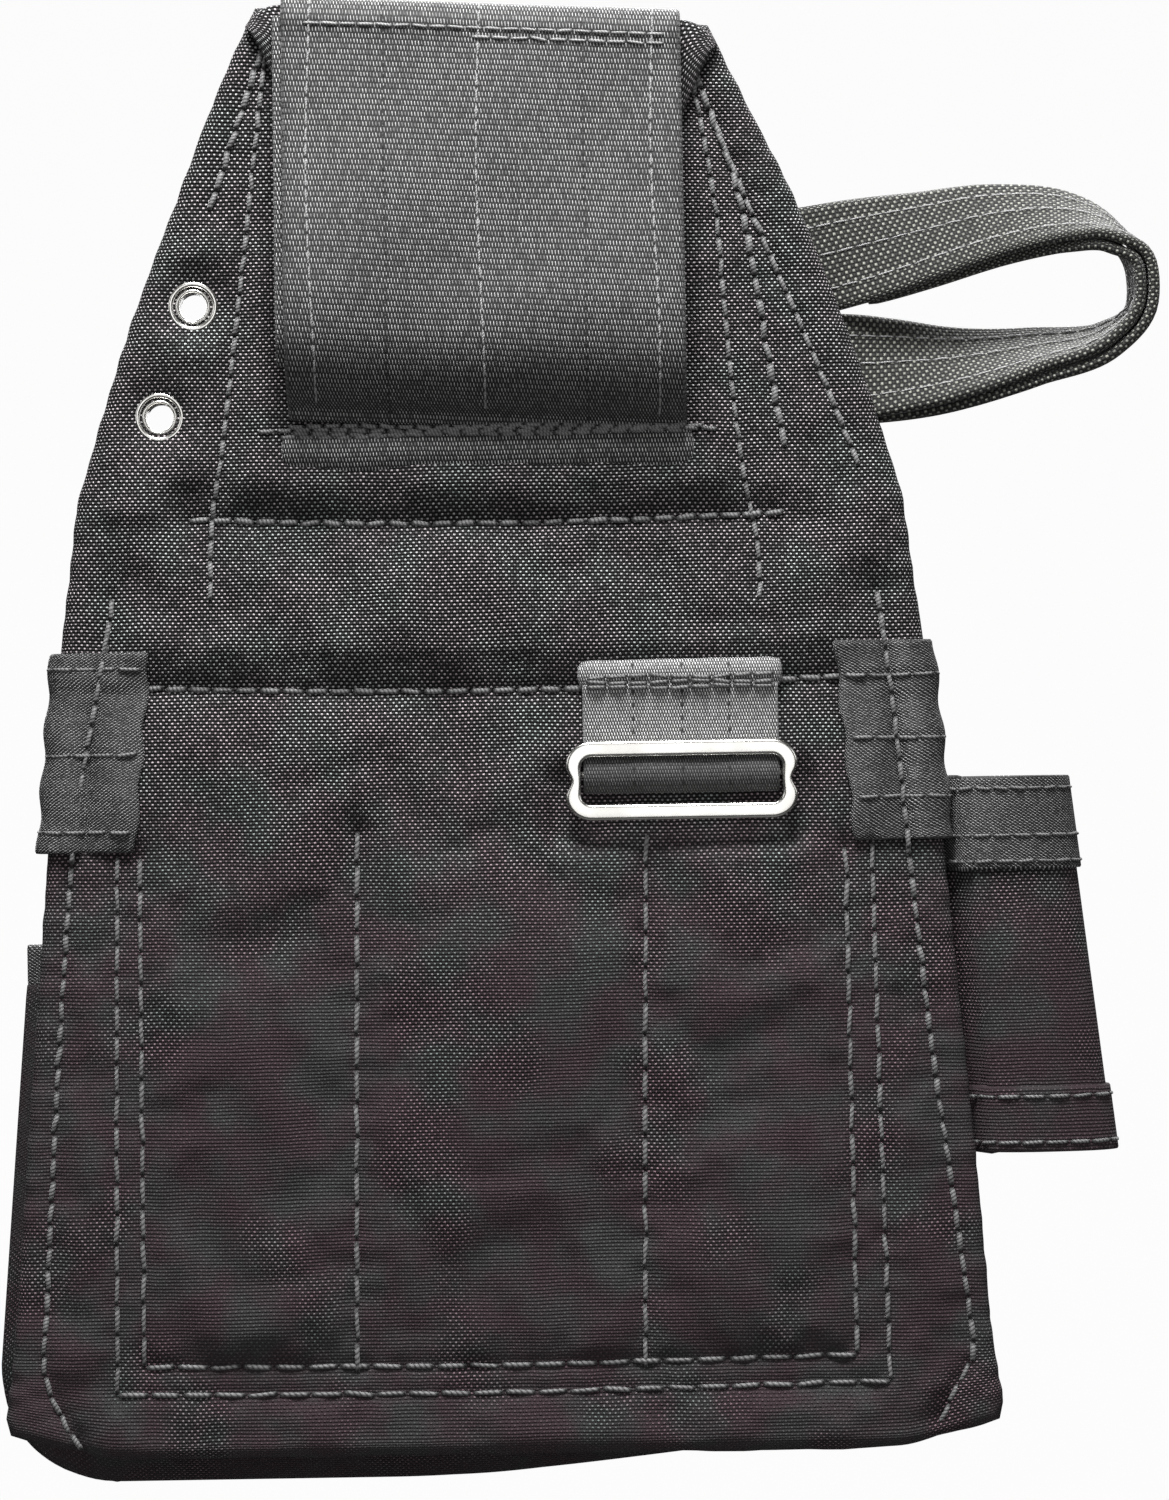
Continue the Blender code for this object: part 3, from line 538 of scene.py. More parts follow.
CANVAS_DYES = {
    "size": 60.0,
    "red": (1.0, 0.70, 0.80, 1),
    "green": (0.78, 1.0, 0.91, 1),
    "low": (0.74, 0.70, 0.72, 1),
    "haze": (0.046, 0.044, 0.045, 1),
}
CANVAS = cloth_finish(
    "canvas", tones=(grey(0.001), grey(0.074), grey(0.580)), pitch=(0.00072, 0.00087),
    dash=(0.8, 1.2, 0.35, 0.42), depth=0.00060, rough=0.70, sheen=0.06, spec=0.16,
    wander=(55.0, 0.0011), dyes=CANVAS_DYES,
)
LINING = cloth_finish(
    "lining_cloth", tones=(grey(0.004), grey(0.025), grey(0.080)), pitch=(0.0005, 0.0005),
    dash=(0.7, 0.7, 0.2, 0.5), depth=0.00015, rough=0.75, sheen=0.2, spec=0.3, wander=(60.0, 0.0008),
)
BELT_WEBBING = cloth_finish(
    "belt_webbing", tones=(grey(0.003), grey(0.080), grey(0.560)), pitch=(0.00040, 0.00141),
    dash=(0.9, 0.45, 0.0, 0.10), depth=0.00040, rough=0.48, sheen=0.10, spec=0.5, wander=(40.0, 0.0008),
    lean=0.35, dots=((-0.0245, 0.00050, 0.0030), (0.0250, 0.00050, 0.0030)),
)
UNDER_WEBBING = cloth_finish(
    "under_webbing", tones=(grey(0.002), grey(0.090), grey(0.700)), pitch=(0.00040, 0.00120),
    dash=(0.9, 0.5, 0.0, 0.15), depth=0.00035, rough=0.50, sheen=0.15, spec=0.5, wander=(40.0, 0.0006),
    lean=0.35,
)
BINDING = cloth_finish(
    "binding_webbing", tones=(grey(0.003), grey(0.070), grey(0.420)), pitch=(0.00062, 0.00042),
    dash=(0.7, 0.8, 0.25, 0.22), depth=0.00032, rough=0.42, sheen=0.08, spec=0.4, wander=(90.0, 0.0006),
    lean=0.9,
)
# Painted light on the buckle's strap: its very bright tones are partly a painted sheen, and below the bar's
# height it is darkened as painted shade where it rolls round and under the bar.
TAB_WEBBING = cloth_finish(
    "tab_webbing", tones=(grey(0.040), grey(0.480), grey(1.000)), pitch=(0.00034, 0.00090),
    dash=(0.9, 0.5, 0.05, 0.20), depth=0.00022, rough=0.45, sheen=0.2, spec=0.5, wander=(40.0, 0.0004),
    lean=0.3, dots=((-0.0118, 0.00045, 0.0033), (0.0004, 0.00045, 0.0033), (0.0122, 0.00045, 0.0033)),
    shade=(0.1795, 0.1825, grey(0.22)),
)
OLIVE = (1.0, 1.0, 0.9)
LOOP_WEBBING = cloth_finish(
    "loop_webbing", tones=(grey(0.003, OLIVE), grey(0.090, OLIVE), grey(0.300, (1, 1, 0.88))),
    pitch=(0.00115, 0.00095), dash=(0.7, 0.7, 0.0, 0.30), depth=0.00060, rough=0.62, sheen=0.20,
    spec=0.3, wander=(30.0, 0.0006),
)
THREAD = thread_finish("thread", grey(0.012), grey(0.250))
PALE_THREAD = thread_finish("pale_thread", grey(0.120), grey(0.420))
NICKEL = nickel_finish()
FOAM = foam_finish()


# ---------------------------------------------------------------- the panel's outline and seams


def panel_half(z):
    """Half the panel's width at each height: straight between four levels, with a bow on the shoulder."""
    z = np.asarray(z, float)
    half = np.interp(-z, [-0.003, 0.117, 0.155, 0.3555], [0.057, 0.103, 0.108, 0.125])
    share = np.clip((0.003 - z) / 0.120, 0, 1)
    return half + 0.003 * np.sin(math.pi * share)


def rounded(half_of, bottom, corner):
    """Half the width at each height, drawn in round the two lower corners by a circle."""

    def half(z):
        drop = np.clip(bottom + corner - z, 0, corner)
        return half_of(z) - corner + np.sqrt(np.maximum(corner**2 - drop**2, 0))

    return half


# Each seam's stitch length and thread radius, the depth of its valley as a share and the valley's reach, then
# the seam's points as x and z. All but the share are millimetres.
SEAMS_MM = {
    "left_rib": (5.2, 0.42, 0.60, 6.0, [
        (-54, -7), (-57, -29), (-60.5, -57), (-63.4, -80), (-67, -107), (-69.6, -123), (-70.2, -142)
    ]),
    "left_branch": (5.2, 0.55, 0.55, 5.0, [(-55, -7), (-61.5, -25), (-68.8, -44.6)]),
    "right_rib": (5.2, 0.42, 0.60, 6.0, [
        (52.5, -10), (57.5, -43), (60.6, -83), (64, -114), (67, -130), (67.3, -144)
    ]),
    "right_middle": (5.4, 0.60, 0.70, 5.0, [(53, -8), (62.6, -38), (67.4, -63), (70.8, -86), (74.2, -106)]),
    "right_outer": (5.4, 0.50, 0.60, 5.0, [(57.8, -22), (68.9, -52), (79.7, -78), (92.6, -111)]),
    "upper_quilt": (5.6, 0.52, 1.00, 12.0, [
        (-75.4, -121.6), (-40, -123), (0, -123.6), (40, -123.2), (73.9, -122.2)
    ]),
    "lower_quilt": (6.0, 0.50, 1.00, 14.0, [
        (-88, -163.6), (-45, -165), (0, -165.6), (45, -165), (88, -163.4)
    ]),
    "left_side": (5.6, 0.48, 0.90, 6.0, [
        (-94.7, -141), (-98, -160), (-104.6, -195), (-108.6, -235), (-111.5, -274), (-114.4, -320)
    ]),
    "left_turn": (5.6, 0.48, 0.80, 6.0, [(-114.4, -320), (-115, -335), (-110.6, -347), (-106, -354)]),
    "right_side": (5.6, 0.48, 0.90, 6.0, [
        (96.7, -142), (100, -170), (103.9, -211), (108.6, -258), (113.3, -295), (117, -325)
    ]),
    "right_turn": (5.6, 0.48, 0.80, 6.0, [(117, -325), (117.6, -334), (113, -342), (109, -351)]),
    "outer_left": (7.6, 0.40, 0.45, 4.0, [(-94.6, -205), (-96, -280), (-96.9, -340.4)]),
    "outer_bottom": (8.0, 0.42, 0.50, 5.0, [(-96.9, -340.4), (0, -341.2), (96.6, -340)]),
    "outer_right": (7.6, 0.40, 0.45, 4.0, [(94.2, -205), (95.4, -280), (96.6, -340)]),
    "inner_left": (7.8, 0.42, 0.55, 5.0, [(-89.0, -206), (-90.0, -333.5)]),
    "inner_bottom": (8.2, 0.44, 0.60, 6.0, [(-90.0, -333.5), (0, -334.4), (88.4, -333.2)]),
    "inner_right": (7.8, 0.42, 0.55, 5.0, [(87.6, -206), (88.4, -333.2)]),
    "left_divider": (8.4, 0.42, 0.75, 8.0, [(-34.5, -200), (-35.8, -270), (-36.8, -336)]),
    "right_divider": (8.4, 0.42, 0.75, 8.0, [(37.8, -202), (36.4, -270), (35.4, -336)]),
}
Seam = namedtuple("Seam", "line pitch radius depth reach")
SEAMS = {
    name: Seam(curve(np.array(points) * MM, 60), pitch * MM, radius * MM, depth, reach * MM)
    for name, (pitch, radius, depth, reach, points) in SEAMS_MM.items()
}
EYELETS = [(-0.0734, -0.0682), (-0.0822, -0.0958)]
EYELET_HOLES = [(x, z, 0.0044) for x, z in EYELETS]
PUFF = 0.0049  # how far the padding stands out between seams
EDGE_INSET = 0.0028  # from the panel's outline to where its cover starts to turn round the edge
TOP_SLOPE = 0.055  # how far the top of the pouch drops to the right, for each metre across


def to_line(x, z, line):
    """The distance from each point to a line of straight pieces, and how far along the nearest spot is."""
    best = np.full(x.shape, 9.0)
    run = np.zeros(x.shape)
    starts = lengths(line)
    for (ax, az), (bx, bz), start in zip(line, line[1:], starts):
        length = math.hypot(bx - ax, bz - az)
        share = np.clip(((x - ax) * (bx - ax) + (z - az) * (bz - az)) / length**2, 0, 1)
        away = np.hypot(x - ax - share * (bx - ax), z - az - share * (bz - az))
        nearer = away < best
        best = np.where(nearer, away, best)
        run = np.where(nearer, start + share * length, run)
    return best, run


def ripples(x, z, waves, seed):
    """A sum of sine waves with seeded directions: gentle unevenness in cloth, from -1 to 1 or so."""
    chance = np.random.default_rng(seed)
    total = np.zeros_like(x)
    for size in waves:
        turn = chance.uniform(0, math.pi)
        phase = chance.uniform(0, 2 * math.pi, 2)
        bend = np.sin((x * math.sin(turn) - z * math.cos(turn)) / (size * 1.7) * math.pi + phase[0])
        total += np.sin((x * math.cos(turn) + z * math.sin(turn)) / size * math.pi + phase[1] + bend)
    return total / len(waves)


def kept_flat(x, z):
    """1 where the cover lies flat behind the buckle's strap and the edge wraps, fading to 0 round them."""
    strap = ease(0.037, 0.028, np.abs(x - TAB_X)) * ease(-0.214, -0.204, z) * ease(-0.150, -0.160, z)
    wraps = ease(0.034, 0.025, panel_half(z) - np.abs(x)) * ease(-0.216, -0.206, z) * ease(-0.145, -0.154, z)
    return np.maximum(strap, wraps)


SWELL_SIZE = (84, 60)  # rows and columns of the simulated cover
SWELL_TOP = PANEL_TOP - 0.002
SWELL_CAP = 0.0034  # the furthest that the simulated cloth may move
SWELL_STEPS = 20
TAB_X = 0.0469  # the middle of the buckle's strap


def simulate_cover():
    """The cover blown up between its seams by a cloth simulation, as a table of how far each point moved.

    A grid with a little spare cloth is held at its rim, its seams and behind the webbing, and pressed
    outwards without gravity. Each move is capped by cap times tanh(move / cap).
    """
    rows, columns = SWELL_SIZE
    z = np.linspace(SWELL_TOP, PANEL_BOTTOM, rows)[:, None]
    x = (panel_half(z) - EDGE_INSET) * np.linspace(-1, 1, columns)
    z = z + 0 * x
    start = 0.0004 * ripples(x, z, (0.012, 0.019, 0.027), 90)
    quads = corners(numbered(rows, columns))
    points = surface(x, start, z).reshape(-1, 3)
    made = to_object("cover_cloth", points, quads, np.zeros((quads.size, 2)))
    held = np.exp(-(((panel_half(z) - np.abs(x)) / 0.009) ** 2))
    held = np.maximum(held, ease(0.0, 0.004, np.abs(z - (SWELL_TOP + PANEL_BOTTOM) / 2) - 0.174))
    for seam in SEAMS.values():
        held = np.maximum(held, np.exp(-((to_line(x, z, seam.line[::2])[0] / 0.0036) ** 2)))
    held = np.maximum(held, kept_flat(x, z))
    for eye_x, eye_z in EYELETS:
        held = np.maximum(held, np.exp(-(((x - eye_x) ** 2 + (z - eye_z) ** 2) / 0.010**2)))
    group = made.vertex_groups.new(name="sewn")
    for number, weight in enumerate(held.ravel().tolist()):
        group.add([number], weight, "REPLACE")
    cover = made.modifiers.new("cover", "CLOTH")
    cover.point_cache.frame_start = 1
    cover.point_cache.frame_end = SWELL_STEPS
    cover.settings.effector_weights.gravity = 0
    settings = {
        "quality": 8,
        "mass": 0.25,
        "tension_stiffness": 25,
        "compression_stiffness": 25,
        "shear_stiffness": 10,
        "bending_stiffness": 2.0,
        "vertex_group_mass": "sewn",
        "shrink_min": -0.015,
        "use_pressure": True,
        "uniform_pressure_force": 2.5,
    }
    for name, value in settings.items():
        setattr(cover.settings, name, value)
    for step in range(1, SWELL_STEPS + 1):
        bpy.context.scene.frame_set(step)
    result = made.evaluated_get(bpy.context.evaluated_depsgraph_get()).to_mesh()
    moved = np.zeros(rows * columns * 3, np.float32)
    result.vertices.foreach_get("co", moved)
    made.modifiers.clear()
    bpy.data.objects.remove(made)
    bpy.context.scene.frame_set(1)
    # The grid's faces look along +Y, so the pressure moved the cloth that way.
    move = moved.reshape(rows, columns, 3)[..., 1] - start
    return SWELL_CAP * np.tanh(move / SWELL_CAP)


def swell(x, z):
    """The simulated lift at any place: the table read between its rows and columns."""
    rows, columns = SWELL_SIZE
    row = np.clip((SWELL_TOP - z) / (SWELL_TOP - PANEL_BOTTOM) * (rows - 1), 0, rows - 1.001)
    half = panel_half(z) - EDGE_INSET
    column = np.clip((x / half + 1) / 2 * (columns - 1), 0, columns - 1.001)
    r, c = row.astype(int), column.astype(int)
    down, across = row - r, column - c
    upper = SWELL[r, c] * (1 - across) + SWELL[r, c + 1] * across
    lower = SWELL[r + 1, c] * (1 - across) + SWELL[r + 1, c + 1] * across
    return upper * (1 - down) + lower * down


def panel_lift(x, z):
    """How far the cover stands out from the panel's back.

    The padding's height is one value times, for every seam, one less the seam's depth times an exponential
    of the distance, or above a quilting seam times a straight slope. Each seam has a narrow groove, with
    puckers at the pace of its stitches. Slow ripples and the simulated swell are added.
    """
    x = np.asarray(x, float)
    z = np.asarray(z, float)
    full = np.ones(x.shape)
    groove = np.zeros(x.shape)
    pucker = np.zeros(x.shape)
    for name, seam in SEAMS.items():
        away, run = to_line(x, z, seam.line[::2])
        valley = np.exp(-away / seam.reach)
        if name.endswith("quilt"):
            above = ease(-0.002, 0.002, z - np.interp(x, seam.line[:, 0], seam.line[:, 1]))
            valley = valley * (1 - above) + np.clip(1 - away / 0.0105, 0, 1) * above
        full *= 1 - seam.depth * valley
        groove += seam.depth * np.exp(-((away / 0.0018) ** 2))
        pucker += seam.depth * np.cos(2 * math.pi * run / seam.pitch) * np.exp(-away / 0.0038)
        pucker += seam.depth * np.sin(2 * math.pi * run / (2.7 * seam.pitch) + 2) * np.exp(-away / 0.008)
    edge = panel_half(z) - np.abs(x)
    rim = 1 - 0.75 * np.exp(-np.maximum(edge, 0) / 0.006)
    for eye_x, eye_z in EYELETS:
        rim *= 1 - 0.9 * np.exp(-(((x - eye_x) ** 2 + (z - eye_z) ** 2) / 0.0085**2) ** 2)
    under_belt = ease(0.060, 0.046, np.abs(x)) * ease(-0.118, -0.100, z)
    slow = ripples(x, z, (0.034, 0.047, 0.026, 0.061), 3) * 0.45 + ripples(x, z, (0.013, 0.018), 8) * 0.16
    lift = PUFF * full * rim + 0.00110 * slow * full
    lift -= 0.00075 * np.minimum(groove, 1.2) + 0.00024 * pucker
    behind_buckle = ease(0.0365, 0.0308, np.abs(x - TAB_X))
    behind_buckle = behind_buckle * ease(-0.2090, -0.2010, z) * ease(-0.180, -0.190, z)
    lift = lift * (1 - 0.97 * behind_buckle)
    return lift * (1 - 0.8 * under_belt) + swell(x, z) * (1 - under_belt) * (1 - kept_flat(x, z))


def back_y(x, z):
    """The depth of the cover's outer face."""
    return PANEL_BACK - panel_lift(x, z)


def top_lean(x, z):
    """The top of the pouch hangs a little lower on the right, fading out down the shoulder."""
    return -TOP_SLOPE * x * ease(-0.050, 0.0, z)


def panel_grid(half_of, top, bottom, step, inset=0.0):
    """x is a share of half the width at each height, and the heights are closer near the foot."""
    rows = int((top - bottom) / step)
    share = np.linspace(0, 1, rows)
    z = top + (bottom - top) * (share + 0.04 * np.sin(math.pi * share))
    z = np.concatenate([z[z > bottom + 0.010], bottom + 0.010 * np.cos(np.linspace(0.12, 0.5, 9) * math.pi)])
    half = half_of(z) - inset
    columns = int(2 * half.max() / step)
    u = np.linspace(-1, 1, columns)
    x = half[:, None] * u
    return x, z[:, None] + 0 * x


def padded_panel():
    """The quilted cover: a lifted hip face, a flat front, a rounded edge and raised lower corners."""
    half_of = rounded(panel_half, PANEL_BOTTOM, 0.004)
    x, z = panel_grid(half_of, PANEL_TOP - 0.002, PANEL_BOTTOM + 0.0025, STEP, inset=EDGE_INSET)
    shift = top_lean(x, z) + 0.0055 * ease(0.098, 0.127, np.abs(x)) * ease(-0.330, -0.3555, z)
    outer = surface(x, back_y(x, z), z + shift)
    inner = surface(x, np.full_like(x, PANEL_FRONT - 0.0006), z + shift)
    uv = surface(x, z)
    return two_faced("padded_panel", outer, inner, CANVAS, bulge=0.75, steps=8, uv=uv)


# ---------------------------------------------------------------- stitching


def stitches(name, groups, finish, seed=1):
    """Stitches as short bowed rods whose ends dive into the cloth.

    groups holds, for each line, its points in order, the outward directions, stitch length and radius r.
    With t from -1 to 1 along a rod, its radius is r (1.12 - 0.3 t^6) and its middle stands out by
    r (1.15 (1 - t^2) - 0.25).
    """
    chance = np.random.default_rng(seed)
    stations = np.array([-1.0, -0.78, 0.0, 0.78, 1.0])
    around = 6
    angle = np.linspace(0, 2 * math.pi, around, endpoint=False)
    every = []
    for line, outward, pitch, radius in groups:
        run = lengths(line)
        count = max(1, int(round(run[-1] / pitch)))
        ends = np.linspace(0, run[-1], count + 1)
        centre = (ends[1:] + ends[:-1]) / 2
        gap = (ends[1] - ends[0]) * 0.5 * chance.uniform(0.84, 0.95, count)
        first = sample(line, run, centre - gap)
        last = sample(line, run, centre + gap)
        normal = unit(sample(outward, run, centre))
        along = unit(last - first)
        side = unit(np.cross(along, normal))
        lean = chance.normal(0, 0.35 * radius, (count, 1))
        first = first + side * lean
        last = last - side * lean
        wide = radius * chance.uniform(0.88, 1.12, (count, 1, 1, 1))
        t = stations[None, :, None, None]
        middle = ((first + last) / 2)[:, None, None, :] + ((last - first) / 2)[:, None, None, :] * t
        n = normal[:, None, None, :]
        s = side[:, None, None, :]
        girth = wide * (1.12 - 0.30 * np.abs(t) ** 6)
        lift = wide * (1.15 * (1 - t**2) - 0.25)
        ring = s * np.cos(angle)[None, None, :, None] + n * np.sin(angle)[None, None, :, None]
        # A stitch's u runs over one whole number, and each stitch has its own whole number.
        u = 0.5 + 0.5 * stations[None, :, None] * 0.999 + chance.integers(0, 90, (count, 1, 1)) + 0 * angle
        v = np.broadcast_to(angle / (2 * math.pi), u.shape)
        every.append((middle + n * lift + ring * girth, np.stack([u, v], axis=3)))
    points, maps = (np.concatenate(parts) for parts in zip(*every))
    number = numbered(len(stations), around)
    right = np.roll(number, -1, axis=1)
    body = surface(number[:-1], number[1:], right[1:], right[:-1]).reshape(-1, 4)
    caps = []
    for row, order in ((number[0], 1), (number[-1], -1)):
        caps += [row[[0, 1, 2, 5]][::order], row[[2, 3, 4, 5]][::order]]
    one = np.concatenate([body, np.array(caps)])
    quads = (one[None] + (np.arange(len(points)) * number.size)[:, None, None]).reshape(-1, 4)
    return finished(name, points.reshape(-1, 3), quads, maps.reshape(-1, 2)[quads.ravel()], finish)


def sample(line, run, places):
    """Points at given lengths along a line."""
    return np.stack([np.interp(places, run, line[:, k]) for k in range(3)], axis=1)


def on_cover(line_xz, over=0.0):
    """A seam's points laid on the cover, with the direction that its thread faces."""
    x, z = line_xz[:, 0], line_xz[:, 1]
    points = np.stack([x, back_y(x, z) - over, z + top_lean(x, z)], axis=1)
    small = 0.0006
    slope_x = (back_y(x + small, z) - back_y(x - small, z)) / (2 * small)
    slope_z = (back_y(x, z + small) - back_y(x, z - small)) / (2 * small)
    return points, unit(np.stack([slope_x, -np.ones_like(x), slope_z], axis=1))


def faced(grid, row, column, towards):
    """A grid's normals, all turned so that at one point their depth has the sign of towards."""
    outward = normals(grid)
    return outward if outward[row, column, 1] * towards > 0 else -outward


def seam_thread():
    """The stitches of every seam on the cover, a little thicker than the thread and clear of the groove."""
    groups = [(*on_cover(seam.line, over=0.0004), seam.pitch, seam.radius * 1.22) for seam in SEAMS.values()]
    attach(stitches("panel_seam_thread", groups, THREAD), "pouch")


# ---------------------------------------------------------------- stage, camera and lights


AMBIENT = 0.03


def stage():
    """A floor that curves up into a backdrop: flat, a quarter circle, then upright."""
    low, back, bend, tall, wide = -2.2, 3.2, 1.0, 5.0, 8.0
    turn = np.linspace(0, math.pi / 2, 24)[1:]
    arc = np.stack([back + bend * np.sin(turn), low + bend * (1 - np.cos(turn))], axis=1)
    profile = np.vstack([[(-4.0, low), (back, low)], arc, [(back + bend, tall)]])
    grid = surface(np.linspace(wide, -wide, 5), profile[:, :1], profile[:, 1:])
    quads = corners(numbered(len(profile), 5))
    uvs = flat_map(grid).reshape(-1, 2)[quads.ravel()]
    finished("studio_floor", grid.reshape(-1, 3), quads, uvs, floor_finish())


def lamp(name, place, aim, size, power):
    """A soft square light pointed at a spot."""
    data = bpy.data.lights.new(name, "AREA")
    data.energy = power
    data.size = size
    made = bpy.data.objects.new(name, data)
    bpy.context.scene.collection.objects.link(made)
    made.location = place
    made.rotation_mode = "QUATERNION"
    made.rotation_quaternion = Vector(np.array(aim, float) - np.array(place, float)).to_track_quat("-Z", "Y")


def camera():
    """Looks along +Y from the hip side, rolled by about one degree."""
    data = bpy.data.cameras.new("camera")
    data.sensor_fit = "VERTICAL"
    data.sensor_height = 36.0
    distance = 1.5
    height_seen = 0.375
    data.lens = data.sensor_height * distance / height_seen
    data.clip_start, data.clip_end = 0.05, 20
    made = bpy.data.objects.new("camera", data)
    bpy.context.scene.collection.objects.link(made)
    roll = math.radians(0.99)
    right = (math.cos(roll), 0, -math.sin(roll))
    up = (math.sin(roll), 0, math.cos(roll))
    turn = Matrix((right, up, (0, -1, 0))).transposed().to_4x4()
    turn.translation = (0.02275, -distance, -0.1809)
    made.matrix_world = turn
    bpy.context.scene.camera = made


def world():
    """White where it is seen and faint as light, so that the lamps shape the cloth."""
    made = bpy.data.worlds.new("studio")
    bpy.context.scene.world = made
    made.use_nodes = True
    background = made.node_tree.nodes["Background"]
    seen = Wire(made.node_tree).node("ShaderNodeLightPath", out=0)
    (seen * (1.0 - AMBIENT) + AMBIENT).into(background, "Strength")
    background.inputs["Color"].default_value = grey(1.0)


# ---------------------------------------------------------------- pieces on the hip side


def punch(piece, holes):
    """Cuts round holes through a piece along Y with a Boolean, and keeps the result as the piece's mesh."""
    sides = 40
    angle = np.linspace(0, 2 * math.pi, sides, endpoint=False)
    ends = [list(range(sides)), list(range(2 * sides - 1, sides - 1, -1))]
    for x, z, radius in holes:
        points = surface(x + radius * np.cos(angle), [[-0.02], [0.03]], z + radius * np.sin(angle))
        walls = [[k, sides + k, sides + (k + 1) % sides, (k + 1) % sides] for k in range(sides)]
        mesh = bpy.data.meshes.new("punch")
        mesh.from_pydata(points.reshape(-1, 3).tolist(), [], walls + ends)
        cutter = bpy.data.objects.new("punch", mesh)
        bpy.context.scene.collection.objects.link(cutter)
        cut = piece.modifiers.new("punch", "BOOLEAN")
        cut.operation = "DIFFERENCE"
        cut.object = cutter
        graph = bpy.context.evaluated_depsgraph_get()
        result = bpy.data.meshes.new_from_object(piece.evaluated_get(graph))
        piece.modifiers.clear()
        old = piece.data
        result.name = piece.name
        piece.data = result
        bpy.data.meshes.remove(old)
        bpy.data.objects.remove(cutter)
    return piece


def rides(piece, body, *nodes):
    """Puts a piece on a body in the place of CAD nodes."""
    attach(piece, body)
    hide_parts(*nodes)
    return piece


def tunnel_path():
    """The belt webbing's middle as depth and height: up the front, over the top and round to the seam."""
    front = [(0.0131, -0.0250), (0.0131, -0.0100), (0.0129, 0.0020), (0.0105, 0.0046), (0.0040, 0.0050)]
    over = [(-0.0030, 0.0046), (-0.0056, 0.0022), (-0.0066, -0.0050), (-0.0092, -0.0220), (-0.0124, -0.0420)]
    belly = [(-0.0150, -0.0600), (-0.0161, -0.0720), (-0.0152, -0.0810), (-0.0115, -0.0885)]
    return np.array(front + over + belly + [(-0.0055, -0.0935), (0.0000, -0.0965), (0.0006, -0.0990)])


def webbing_sheet(name, path, left, right, finish, thick, wave, columns):
    """A path in depth and height carried across from left to right, with slow waves in its depth."""
    rows = int(lengths(path)[-1] / 0.0011)
    line = curve(path, rows)
    run = lengths(line)
    x, down = np.meshgrid(np.linspace(left, right, columns), run)
    free = ease(0.030, 0.055, down) * ease(run[-1], run[-1] - 0.022, down)
    y = line[:, :1] + wave * ripples(x, down, (0.031, 0.044, 0.022), 11) * free
    grid = surface(x, y, line[:, 1:] - 0.050 * x)
    return cloth(name, grid, thick, finish, uv=surface(x, -down)), grid


def belt_tunnel():
    """The wide webbing over the belt, the layer inside it and the cross strip. Returns the webbing's grid."""
    path = tunnel_path()
    outer, face = webbing_sheet("belt_webbing", path, -0.0490, 0.0488, BELT_WEBBING, 0.0020, 0.00105, 64)
    rides(outer, "pouch", "belt_loop_webbing")
    inward = np.array([(0.0027, 0.0004), (0.0000, 0.0006), (-0.0030, 0.0004), (-0.0042, -0.0040)])
    inner_path = np.vstack([inward, path[8:13] + [0.0021, 0.0004], [(-0.0100, -0.0865)]])
    inner = webbing_sheet("belt_lining", inner_path, -0.0516, 0.0470, UNDER_WEBBING, 0.0012, 0.00085, 40)[0]
    rides(inner, "pouch", "belt_loop_lining")
    x, t = np.meshgrid(np.linspace(-0.0497, 0.0494, 60), np.linspace(0, 1, 12))
    z = -0.1004 - 0.0036 * (x + 0.05) - t * (0.0104 + 0.0003 * np.sin(x * 160))
    hem_outer = surface(x, 0.0008 - 0.0030 * np.sin(math.pi * (0.12 + 0.83 * t)), z)
    hem_inner = surface(x, np.full_like(x, 0.0026), z)
    hem = two_faced("belt_hem", hem_outer, hem_inner, UNDER_WEBBING, uv=surface(x, z))
    rides(hem, "pouch", "belt_loop_hem")
    return face


def tunnel_thread(face):
    """Fine lines of thread down the webbing, two rows under its top edge and the bar across its foot."""
    outward = faced(face, len(face) // 2, 0, -1)
    raised = face + outward * 0.0011
    groups = []
    lengthways = slice(int(len(face) * 0.28), -6)
    left, right = face[0, 0, 0], face[0, -1, 0]
    for x in (-0.0432, -0.0010, 0.0425):
        share = (x - left) / (right - left) * (face.shape[1] - 1)
        low = int(share)
        part = share - low
        line = face[:, low] * (1 - part) + face[:, low + 1] * part + outward[:, low] * 0.0011
        line[:, 0] += 0.0007 * np.sin(np.linspace(0, 9, len(line)) + x * 300)
        groups.append((line[lengthways], outward[lengthways, low], 0.0040, 0.00022))
    row = int(np.argmin(np.abs(face[:, 32, 2] + 0.0014) + (face[:, 32, 1] > 0)))
    groups.append((raised[row, 3:-2], outward[row, 3:-2], 0.0045, 0.00034))
    groups.append((raised[row + 2, 30:-2], outward[row + 2, 30:-2], 0.0050, 0.00034))
    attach(stitches("belt_webbing_thread", groups, PALE_THREAD, seed=4), "pouch")
    bar = []
    # Each row of the bar: the height at its two ends, then where it starts and stops.
    bar_rows = [(-0.0990, -0.1000, -0.0500, 0.0500), (-0.1000, -0.1005, -0.0575, 0.0540)]
    bar_rows += [(-0.1009, -0.1010, -0.0490, 0.0575), (-0.1016, -0.1014, -0.0520, 0.0490)]
    for number, (low, high, left, right) in enumerate(bar_rows):
        x = np.linspace(left, right, 80)
        z = np.linspace(low, high, 80) + 0.0003 * np.sin(x * 130 + number)
        on_webbing = ease(0.0515, 0.0480, np.abs(x))
        y = (back_y(x, z) - 0.0001) * (1 - on_webbing) - 0.0008 * on_webbing
        bar.append((np.stack([x, y, z], axis=1), np.tile([0.0, -1.0, -0.25], (80, 1)), 0.0046, 0.00052))
    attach(stitches("belt_bar_thread", bar, THREAD, seed=6), "pouch")


